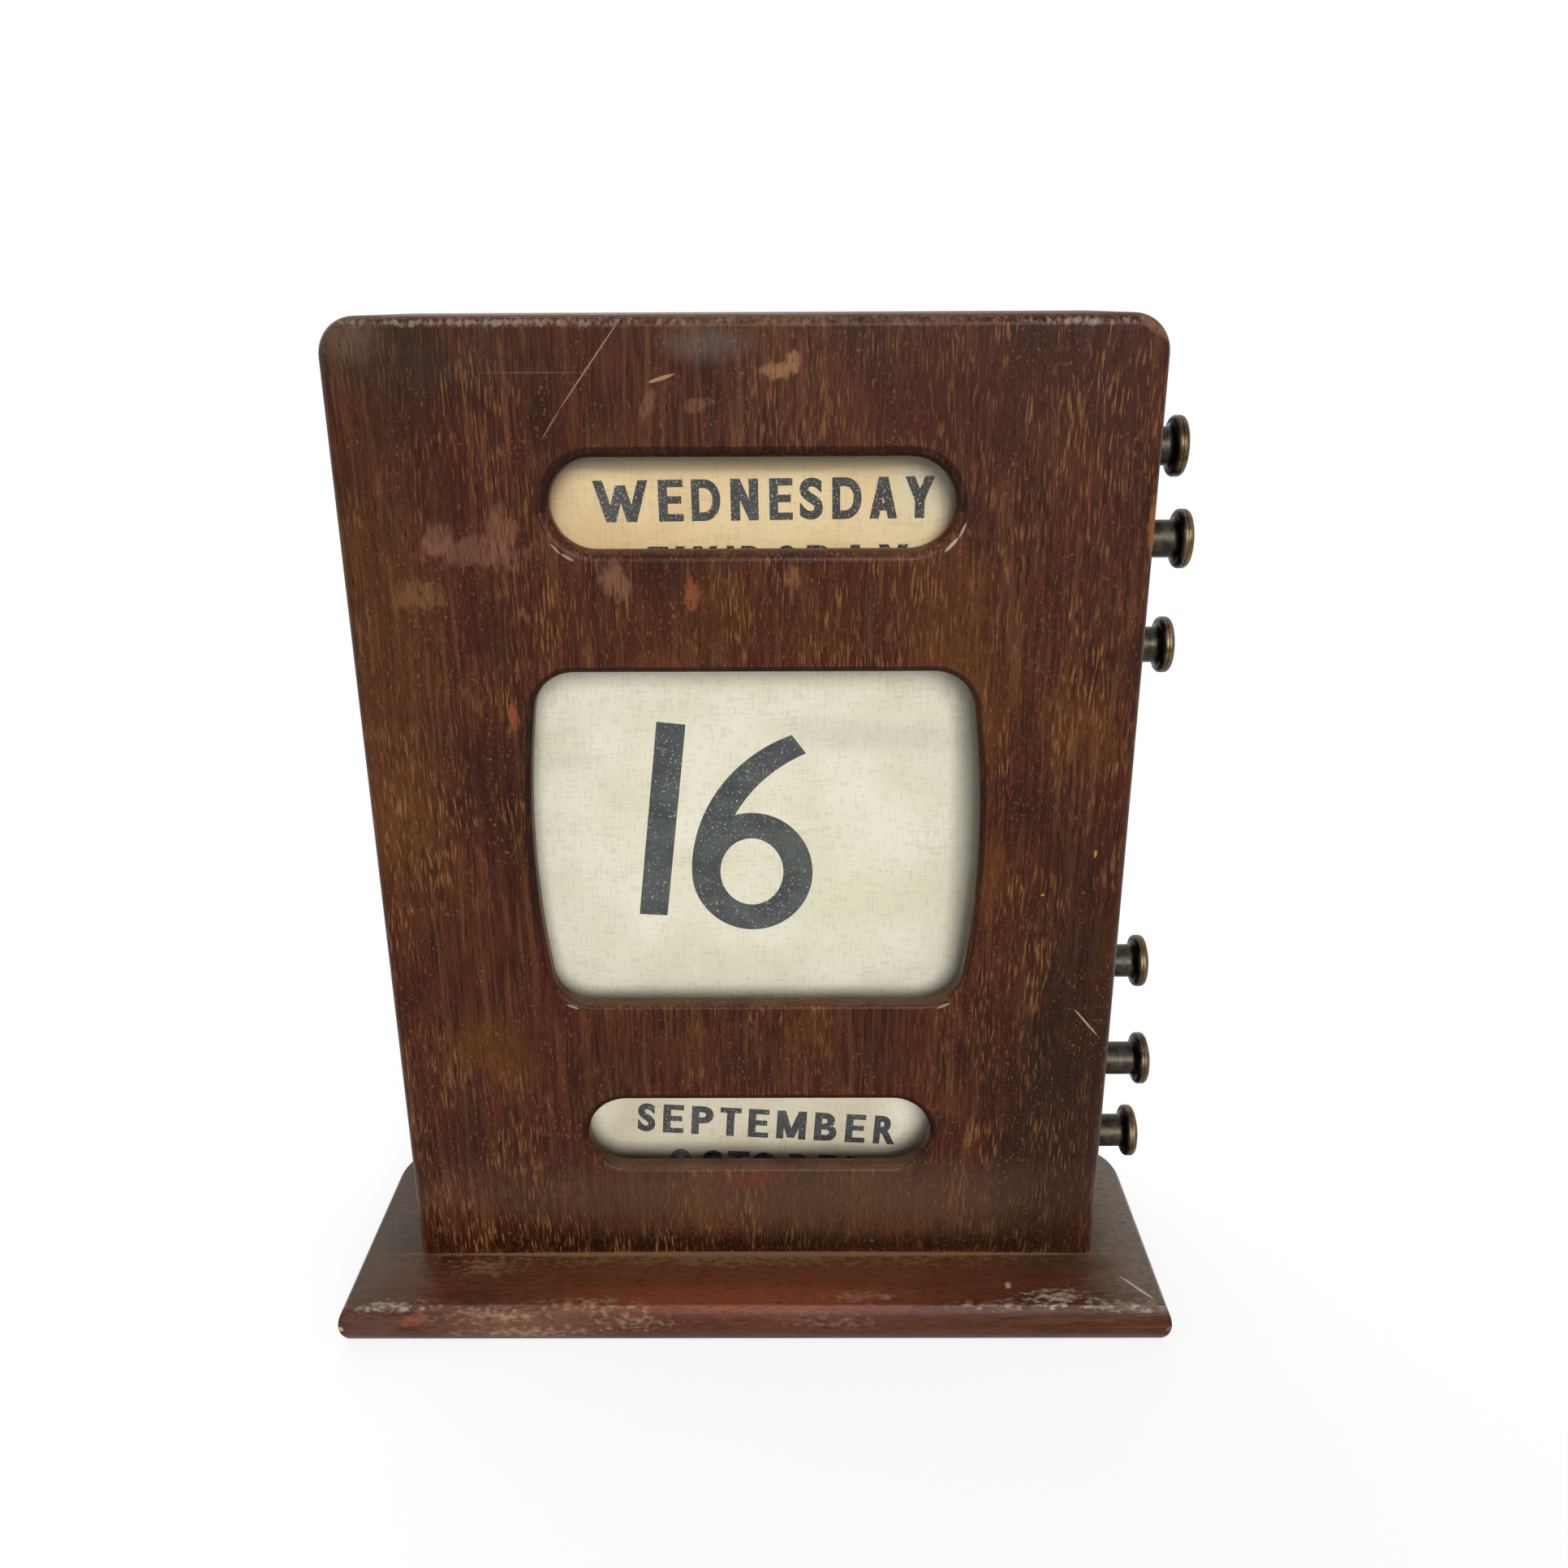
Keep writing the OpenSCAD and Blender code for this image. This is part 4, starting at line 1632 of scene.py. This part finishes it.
@dataclass
class Studio:
    """Pale floor, soft light and the camera."""

    eye: Triple = (8.137, -262.111, 213.253)
    yaw: float = -0.0051135
    pitch: float = 0.3477098
    roll: float = -0.0046739
    focal_px: float = 1645.069
    image_px: float = 1932.0
    sensor_w: float = 36.0
    clip: Point = (0.01, 20.0)
    floor_r: float = 6.0

    def camera(self) -> None:
        """Set up the camera."""
        data = bpy.data.cameras.new("camera")
        data.sensor_width = self.sensor_w
        data.lens = data.sensor_width * self.focal_px / self.image_px
        data.clip_start, data.clip_end = self.clip
        ahead = Vector((
            math.sin(self.yaw) * math.cos(self.pitch),
            math.cos(self.yaw) * math.cos(self.pitch),
            -math.sin(self.pitch),
        ))
        right = Vector((math.cos(self.yaw), -math.sin(self.yaw), 0))
        up = right.cross(ahead)
        c, s = math.cos(self.roll), math.sin(self.roll)
        across, upright = right * c + up * s, up * c - right * s
        frame = Matrix((across, upright, -ahead)).transposed().to_4x4()
        camera = bpy.data.objects.new("camera", data)
        camera.matrix_world = Matrix.Translation(metres(*self.eye)) @ frame
        bpy.context.scene.collection.objects.link(camera)
        bpy.context.scene.camera = camera

    def lamp(self, name: str, towards: Triple, degrees: float, level: float) -> None:
        """Hang a soft lamp, so large and far away that it lights all places alike.

        Args:
            name: Name of the lamp.
            towards: Direction in which its light goes.
            degrees: How wide it looks from the object.
            level: Light that it gives a surface facing it.
        """
        data = bpy.data.lights.new(name, "SUN")
        data.angle, data.energy = math.radians(degrees), level
        lamp = bpy.data.objects.new(name, data)
        lamp.rotation_euler = Vector(towards).to_track_quat("-Z", "Y").to_euler()
        bpy.context.scene.collection.objects.link(lamp)

    def world(self, level: float) -> None:
        """Light the scene evenly, with a white background behind it.

        Args:
            level: Strength of the even light.
        """
        world = bpy.data.worlds.new("studio")
        world.use_nodes = True
        bpy.context.scene.world = world
        g = Graph(tree=world.node_tree)
        strength = g.add(Node.RANGE, self.seen(g), level, 1.0)
        g.add(Node.SKY, g.add(Node.BACKDROP, "#ffffff", strength))

    def seen(self, g: Graph) -> Socket:
        """Return 1 for what is seen straight, in a gloss or through glass, and 0 for light.

        Args:
            g: Graph that takes the nodes.

        Returns:
            The switch.
        """
        either = g.add(Node.LIGHT_PATH)
        for name in ("Is Glossy Ray", "Is Transmission Ray"):
            either = g.add(Node.LARGER, either, g.add(Node.LIGHT_PATH, out=name))
        return either

    def floor(self, paint_tone: str, lift: float) -> None:
        """Lay a wide pale floor that shows the object's shadow and ends in white.

        Args:
            paint_tone: Colour of its paint.
            lift: Brightness added for the eye only.
        """
        deselect_all()
        bpy.ops.mesh.primitive_circle_add(vertices=64, radius=self.floor_r, fill_type="NGON")
        floor = bpy.context.object
        floor.name = "floor"
        g = Graph("floor_paint")
        paint = g.add(Node.DIFFUSE, paint_tone)
        glow = g.add(Node.GLOW, "#ffffff", g.add(Node.PRODUCT, self.seen(g), lift))
        g.add(Node.SURFACE, g.add(Node.BOTH, paint, glow))
        dress(floor, g.material)

    def build(self) -> None:
        """Set up the whole studio."""
        bpy.context.scene.view_settings.view_transform = "Standard"
        self.camera()
        self.floor("#adadad", lift=0.72)
        self.world(level=0.32)
        self.lamp("back", (0.45, -0.75, -0.5), degrees=70, level=0.7)
        self.lamp("key", (-0.15, 0.92, -0.34), degrees=26, level=2.6)


# ---- the calendar ----

FRONT_MARKS = (
    # line of dust along the foot
    *face_marks(Edge.CRISP, -13.3, 6, (0, 9.1, 110, 1.4, "#74593f", 0.7)),
    # dark band just above the foot and a grey-brown zone over it, yellower zones at the left and between
    # the upper windows, dark ones at the corners, a red one low down, and a grey patch near the top that
    # is worn polish with a painted reflection on it
    *face_marks(
        Edge.SOFT, -13.3, 6,
        (0, 12.4, 110, 4.0, "#1e0b03", 0.9),
        (20, 24.3, 80, 11, "#4f3a28", 0.6),
        (-70, 150, 13, 52, "#5c3a1c", 0.35),
        (4, 157, 48, 8, "#3f1f0b", 0.6),
        (-62, 204, 28, 8, "#35271f", 0.5),
        (68, 55, 20, 62, "#20120b", 0.75),
        (60, 196, 24, 14, "#2e1a12", 0.4),
        (46, 198, 34, 15, "#3a1509", 0.68),
        (0, 61, 46, 6, "#3d2418", 0.4),
        (0, 30.5, 8, 3.5, "#6e2c1a", 0.5),
        # worn polish with a painted reflection on it, greying the top
        (-6.4, 206, 9, 3.4, "#686460", 0.34),
    ),
    # greyed and rubbed top corners
    *face_marks(
        Edge.SOFT, -12.9, 3,
        (72.8, 208.6, 1.0, 4.6, "#8a6552", 0.6, -55),
        (-71, 208, 8, 5, "#5f4d40", 0.6),
    ),
    # grey film low down and at the right
    *face_marks(
        Edge.VEIL, -13.3, 6,
        (0, 26.5, 100, 10, "#58402f", 0.25),
        (69, 30, 12, 30, "#2a1a12", 0.4),
    ),
    # old abrasions and bruises
    *face_marks(
        Edge.PATCHY, -13.3, 3,
        (-50.5, 169.4, 12, 3.4, "#785040", 0.5),
        (-45.6, 172.6, 3.6, 6.2, "#785040", 0.5),
        (-57.4, 171.4, 3.2, 4.4, "#7d5242", 0.5),
        (-62, 161, 6, 3.4, "#7a5432", 0.5),
        (-24.6, 163.6, 3.8, 4.4, "#805a45", 0.55),
        (-10.4, 161.0, 1.6, 3.6, "#8a4a2e", 0.7),
        (8.7, 164, 1.6, 3.0, "#8b5f3c", 0.55),
        (-45.7, 136.9, 1.2, 3.6, "#8f4c30", 0.7),
        (6.4, 201.3, 3.8, 1.7, "#8f6547", 0.8),
        (8.8, 203.0, 1.7, 2.2, "#8f6547", 0.8),
        (-17.4, 195.4, 1.4, 3.4, "#79543f", 0.55, 24),
        (-8.4, 195.6, 2.6, 1.8, "#79543f", 0.5, -30),
    ),
    # rubbed right-hand edge
    *face_marks(Edge.PATCHY, -12.5, 3, (75.6, 173, 1.2, 6.4, "#96592f", 0.7)),
    # scratches and small chips
    *face_marks(
        Edge.CRISP, -13.3, 3,
        (-27.4, 202.7, 0.22, 13.4, "#98745a", 0.75, 37),
        (-35.0, 192.3, 0.22, 4.2, "#8a6248", 0.7, 34),
        (-38.4, 201.3, 12.5, 0.2, "#6e4e3c", 0.5),
        (-14.8, 200.2, 3.2, 0.45, "#a8805f", 0.85, -17),
        (70.6, 69.1, 5.4, 0.3, "#b8a48c", 0.6, 50),
        (69.7, 107.9, 0.4, 1.1, "#c08a3a", 0.7),
        (59.6, 98.8, 0.5, 0.4, "#c08a3a", 0.7),
    ),
    # painted highlights: glints on the windows' outer edges
    *face_marks(
        Edge.CRISP, -13.1, 2,
        (40.2, 172.9, 0.34, 2.0, "#b8ab9c", 0.55, 24),
        (38.2, 170.2, 0.42, 2.4, "#c8bcae", 0.6, 43),
        (-35.6, 169.8, 0.32, 1.6, "#b0a292", 0.5, -42),
        (-33.4, 168.2, 0.4, 1.8, "#b0a292", 0.5, -60),
        (-38.0, 73.2, 1.8, 0.36, "#b5a898", 0.5, 22),
        (40.2, 73.2, 2.0, 0.36, "#b5a898", 0.5, -24),
    ),
    # pale wear along the top arris, with a painted highlight where the light catches it
    *face_marks(
        Edge.FLAKED, -12.9, 3,
        (-44, 209.8, 42, 0.8, "#a29488", 0.55),
        (60, 209.7, 13, 0.9, "#a89a8c", 0.55),
    ),
    *face_marks(Edge.FLAKED, -12.6, 3, (0, 210.0, 84, 1.2, "#7d6854", 0.5)),
)

BASE_MARKS = (
    # red polish all along the front with a painted highlight on the slope, dust with a painted sheen at
    # the right-hand end, dust under a darker painted reflection at the left-hand end, painted shade and
    # reflection of the case close to its foot, and a dark bruise
    *marks(
        Edge.SOFT,
        ((-2, -21, 9.5), (88, 12, 5), "#743e28", 0.85),
        # painted highlight where the slope catches the light
        ((-4, -27, 9.0), (46, 4.2, 3), "#92492d", 0.65),
        ((10, -30, 4.0), (90, 3, 5), "#5c3427", 0.65),
        # dust with a painted sheen on the right-hand end
        ((93, 2, 10.6), (21, 60, 3.4), "#93887c", 0.95),
        # dust under a darker painted reflection on the left-hand end
        ((-93, 2, 10.6), (21, 60, 3.4), "#625a4f", 0.85),
        # painted shade and reflection of the case in front of its right-hand corner
        ((68, -17, 9.5), (14, 4, 3), "#4a3424", 0.7),
        ((-84, -29.8, 4.6), (9, 2.4, 4), "#5e4640", 0.6),
    ),
    # bruises and a rubbed stretch at the left of the worn arris
    *marks(
        Edge.PATCHY,
        ((-73.5, -29.6, 5.8), (4.2, 2.4, 1.8), "#844a3a", 0.65),
        ((-68.6, -29.6, 6.4), (2.2, 2.4, 1.3), "#2c1612", 0.7),
    ),
    *marks(Edge.SOFT, ((-52, -29.6, 5), (24, 3, 5), "#7c5a48", 0.5)),
    *marks(
        Edge.PATCHY,
        ((28.6, -27.0, 8.9), (1.8, 1.0, 1.5), "#a87a62", 0.7),
        ((55.6, -23.4, 9.2), (0.9, 1.1, 1.2), "#dcb088", 0.85),
    ),
    # flaked patches along the arris and the slope
    *marks(
        Edge.FLAKED,
        ((-78, -28.8, 8.4), (12, 2.2, 1.3), "#b0a294", 0.75),
        ((-56, -29.4, 6.8), (14, 2.6, 2.4), "#9e7f66", 0.8),
        ((-50, -30.2, 2.8), (19, 2.4, 2.2), "#9e7f66", 0.75),
        ((-35, -28.2, 8.4), (14, 2.0, 1.5), "#a58a70", 0.75),
        ((-26, -29.6, 5.4), (13, 2.4, 3), "#98765f", 0.7),
        ((16, -29.4, 5.2), (16, 2.4, 2.4), "#90685a", 0.6),
        ((23, -26.6, 9.0), (9, 2.4, 2), "#a87c64", 0.6),
        ((54, -28.4, 8.4), (15, 1.8, 1.2), "#a99484", 0.75),
        ((66, -26.6, 8.8), (9, 3.2, 1.8), "#c4b09c", 0.8),
        ((79, -28.6, 8.2), (12, 2.0, 1.5), "#a89c8a", 0.75),
    ),
    # painted highlight along the right-hand mitre, chipped ends, dust in the angle at the foot of the
    # case, and a painted contact shadow under the front edge
    *marks(
        Edge.CRISP,
        # painted highlight along the mitre line at the right front corner
        ((83.8, -24.2, 9.3), (5.6, 0.45, 3), "#d8d2c8", 0.7, (0, 0, -48)),
        ((-89.8, -29.4, 3.8), (1.1, 2, 1.2), "#c8aa80", 0.8),
        ((89.8, -29.4, 3.6), (1.3, 2, 1.2), "#75604a", 0.7),
        ((0, -13.2, 9.5), (100, 1.3, 3), "#8f7350", 0.8),
        # painted contact shadow along the bottom of the front edge
        ((0, -30.6, -0.3), (110, 4, 2.1), "#1c0d08", 0.8),
    ),
    # patches of dust before the case
    *marks(
        Edge.FLAKED,
        ((-6, -14.4, 9.5), (86, 4.2, 3), "#866a44", 0.75),
        ((-60, -17.4, 9.5), (11, 5.0, 3), "#8a7250", 0.75),
    ),
)

DAY_MARKS = (
    # painted shade at the left-hand end, and a painted reflection of glare on the glass at the right
    *face_marks(
        Edge.SOFT, -3.8, 9,
        (-37, 179, 4, 9, "#c49c6c", 0.5),
        (35, 181, 9, 8, "#d9cdb0", 0.75),
    ),
    # shade under the top of the window
    *face_marks(Edge.CRISP, -3.8, 9, (0, 187.6, 110, 6.2, "#b0946a", 0.7)),
)

DATE_MARKS = (
    # faint painted shadows of old creases, and painted shade under the top and along the right-hand side
    # of the window
    *face_marks(
        Edge.SOFT, -1.1, 9,
        (26, 129, 24, 4.2, "#cfccb8", 0.6, 3),
        (24, 92, 28, 9, "#d8d2b0", 0.6, -2),
        # painted shade under the top of the window
        (0, 145, 60, 1.6, "#c9bfa6", 0.6),
        (-38, 124, 9, 2.4, "#d2cdb6", 0.5),
        # painted shade along the right-hand side of the window
        (44.5, 110, 3.4, 44, "#bdb49c", 0.5),
    ),
)

MONTH_MARKS = (
    # painted light at both ends, lifting the shade that the window's sides cast
    *face_marks(
        Edge.SOFT, -1, 9,
        (-35, 40, 6, 9, "#ece0c8", 0.5),
        (37, 41, 12, 12, "#f6ead2", 0.85),
    ),
)

WEEKDAYS = (
    Line(173.49, 7.9, 0.57, "WEDNESDAY", (
        -29.4, -18.84, -16.92, -12.16, -10.6, -5.04, -3.12, 2.22, 4.31, 8.76, 10.09, 14.55, 16.32,
        21.96, 23.44, 28.76, 30.22, 35.86,
    )),
    Line(160.75, 7.9, 0.34, "THURSDAY", (
        -19.35, -15.27, -13.9, -8.7, -7.34, -2.58, -1.22, 3.76, 5.57, 9.41, 11.45, 16.87, 18.24,
        23.43, 25.34, 31.13,
    )),
)

MONTHS = (
    Line(32.09, 7.6, -3.72, "SEPTEMBER", (
        -27.25, -23.22, -21.45, -16.76, -14.96, -9.98, -8.49, -3.64, -1.99, 2.7, 4.52, 11.29,
        13.16, 18.35, 20.31, 24.87, 26.8, 31.87,
    )),
    Line(20.3, 7.7, -3.15, "OCTOBER", (
        -20.45, -15.19, -13.09, -8.46, -7.0, -1.94, -1.53, 4.37, 7.31, 11.52, 14.04, 18.04, 20.37,
        24.37,
    )),
)


@dataclass
class Shaft:
    """One roller's place: its axis in y and z, its coil's radius and the knob's rim in x."""

    name: str
    y: float
    z: float
    coil_r: float
    rim_x: float

    def circle(self) -> Triple:
        """Return the coil's middle, in y and z, and its radius."""
        return self.y, self.z, self.coil_r


SHAFTS = (
    Shaft("day_upper", 3.7, 186.35, 6.944, 84.3),
    Shaft("day_lower", 3.7, 168.45, 6.944, 86.9),
    Shaft("date_upper", 10.7, 145.2, 11.237, 87.2),
    Shaft("date_lower", 10.7, 71.35, 11.237, 88.3),
    Shaft("month_upper", 6.7, 48.3, 7.253, 89.6),
    Shaft("month_lower", 6.7, 28.75, 6.922, 88.5),
)


@dataclass
class Calendar:
    """The whole object: base, case, knobs, screws, cloths and what is hidden inside."""

    nodes: dict[str, Piece]
    case: Case = field(default_factory=Case)
    # driven screws stop at odd angles: each back one turns on by as many radians from the last,
    # and each base one by as many for each millimetre of its x
    back_screw: SlottedScrew = field(
        default_factory=lambda: SlottedScrew(shank_d=2.2, length=12.0)
    )
    back_screw_z: Triple = (19.5, 110.25, 195.0)
    back_screw_turn: float = 0.4
    base_screw: SlottedScrew = field(
        default_factory=lambda: SlottedScrew(shank_d=3.5, length=14.0, slot_w=0.7, slot_depth=0.8)
    )
    base_screw_x: float = 54.7
    base_screw_y: Point = (0.1, 18.5)
    base_screw_turn: float = 0.7
    seat_gap: float = 0.2
    # waves in the date cloth: the height, the width, and how far it stands forward
    ripples: tuple[Triple, ...] = (
        (134.0, 5.0, 0.12), (118.0, 4.0, -0.1), (104.0, 6.0, 0.1), (86.0, 5.0, -0.12),
    )

    def build(self) -> None:
        """Build and dress every sub-assembly."""
        self.wood()
        self.metal()
        self.cloths()
        self.hidden()

    def back_screws(self) -> list[Point]:
        """Return the middle, in x and z, of each screw in the back board."""
        side_x = self.case.width / 2 - self.case.side_t / 2
        return [(x, z) for x in (-side_x, side_x) for z in self.back_screw_z]

    def wood(self) -> None:
        """Make the base and the case."""
        upright = Mahogany("mahogany_front", Grain.UPRIGHT, FRONT_MARKS, dust=0.54).make()
        # the windows' lips: the same wood darkened all over as painted shade
        lip = Mahogany("mahogany_lip", Grain.UPRIGHT, dust=0.0, stain_and_painted_shade=0.66).make()
        plain = Mahogany("mahogany_sides", Grain.UPRIGHT, seed=40.0).make()
        level = Mahogany("mahogany_top", Grain.LEVEL, seed=70.0, dust=0.54).make()
        foot = Mahogany("mahogany_base", Grain.LEVEL, BASE_MARKS, seed=20.0, dust=0.14, flecked=0.3)
        base = BaseBoard().build()
        dress(base, foot.make())
        seat(base, "case", "mahogany", "base")
        front = self.case.front()
        dress(front, upright)
        front.data.materials.append(lip)
        self.case.mark_lips(front)
        seat(front, "case", "mahogany", "front_panel")
        left, right = self.case.sides([(s.y, s.z) for s in SHAFTS])
        top, d = self.case.top(), self.back_screw.shank_d
        back = self.case.back(self.back_screws(), d + self.seat_gap, self.back_screw.taper * d)
        for board, finish, node in (
            (left, plain, "left_side"), (right, plain, "right_side"),
            (top, level, "top_panel"), (back, plain, "back_panel"),
        ):
            dress(board, finish)
            seat(board, "case", "mahogany", node)

    def metal(self) -> None:
        """Make the knobs and the screws."""
        brass, steel = AgedBrass("brass_screws", "#3a3020", "#6a5638", "#8a7048").make(), Steel().make()
        knob = Knob()
        first = knob.build("knob_pattern", (0, 0, 0))
        for shaft in SHAFTS:
            place = (shaft.rim_x - knob.rim_t, shaft.y, shaft.z)
            piece = moved_copy(first, f"{shaft.name}_knob", place)
            seat(piece, f"{shaft.name}_roller", "brass", f"knob_{shaft.name}")
        bpy.data.objects.remove(first)
        places = [
            Matrix.Translation(metres(x, self.case.end_y - self.seat_gap, z))
            @ Matrix.Rotation(math.pi / 2, 4, "X") @ Matrix.Rotation(self.back_screw_turn * i, 4, "Z")
            for i, (x, z) in enumerate(self.back_screws())
        ]
        backs = self.back_screw.set_of("back_board_screws", places)
        dress(backs, brass)
        seat(backs, "case", "brass", "back_screws")
        places = [
            Matrix.Translation(metres(x, y, self.seat_gap))
            @ Matrix.Rotation(self.base_screw_turn * x, 4, "Z")
            for x in (-self.base_screw_x, self.base_screw_x) for y in self.base_screw_y
        ]
        feet = self.base_screw.set_of("base_board_screws", places)
        dress(feet, steel)
        seat(feet, "case", "steel", "base_screws")

    def cloths(self) -> None:
        """Make the three cloths with their printing."""
        stock = TypeCase()
        linens = (
            PrintedLinen("linen_day", "#eacd9c", "#e0be8a", DAY_MARKS, seed=3.0),
            PrintedLinen("linen_date", "#ebe2cc", "#e0d6bb", DATE_MARKS, seed=11.0),
            PrintedLinen("linen_month", "#ded0b6", "#d2c3a6", MONTH_MARKS, seed=19.0),
        )
        inks = (
            Ink("ink_day", "#0c0e0f", "#262b2d", linens[0].pale, wear=0.05),
            Ink("ink_date", "#1e2324", "#3d423e", linens[1].pale, wear=0.0),
            Ink("ink_month", "#101315", "#2a2e2f", linens[2].pale, wear=0.03),
        )
        names = ("day", "date", "month")
        for name, top, foot, linen, ink in zip(names, SHAFTS[0::2], SHAFTS[1::2], linens, inks):
            cloth = Cloth(f"{name}_cloth", top.circle(), foot.circle(),
                          ripples=self.ripples if name == "date" else ())
            band = cloth.band()
            dress(band, linen.make())
            seat(band, "case", "linen", f"cloth_{name}")
            cloth.size()
            if name == "date":
                piece = Sixteen().build("date_print")
            else:
                rows = WEEKDAYS if name == "day" else MONTHS
                letters = [p for row in rows for p in cloth.print_row(f"{name}_print", row, stock)]
                piece = join(f"{name}_print", letters)
            cloth.settle(piece)
            dress(piece, ink.make())
            seat(piece, "case", "linen")
        stock.clear()

    def hidden(self) -> None:
        """Dress the CAD nodes that stay: rollers, pins, washers, coils, panes and the bottom."""
        for finish, starts in (
            (Pine(), ("roller_", "bottom_panel")),
            (Steel("pin_steel"), ("pin_",)),
            (Felt(), ("friction_washers",)),
            (WindowGlass(), ("glass_",)),
            (PrintedLinen("linen_coil", "#e6dec6", "#d8ceb2", seed=61.0), ("wound_",)),
        ):
            material = finish.make()
            for name, node in self.nodes.items():
                if name.startswith(starts):
                    dress(node, material)


def main() -> None:
    """Load the frame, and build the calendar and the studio."""
    logging.basicConfig(level=logging.INFO, format="%(name)s: %(message)s")
    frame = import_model()
    Studio().build()
    Calendar(frame["nodes"]).build()
    bpy.context.view_layer.update()


if __name__ == "__main__":
    main()
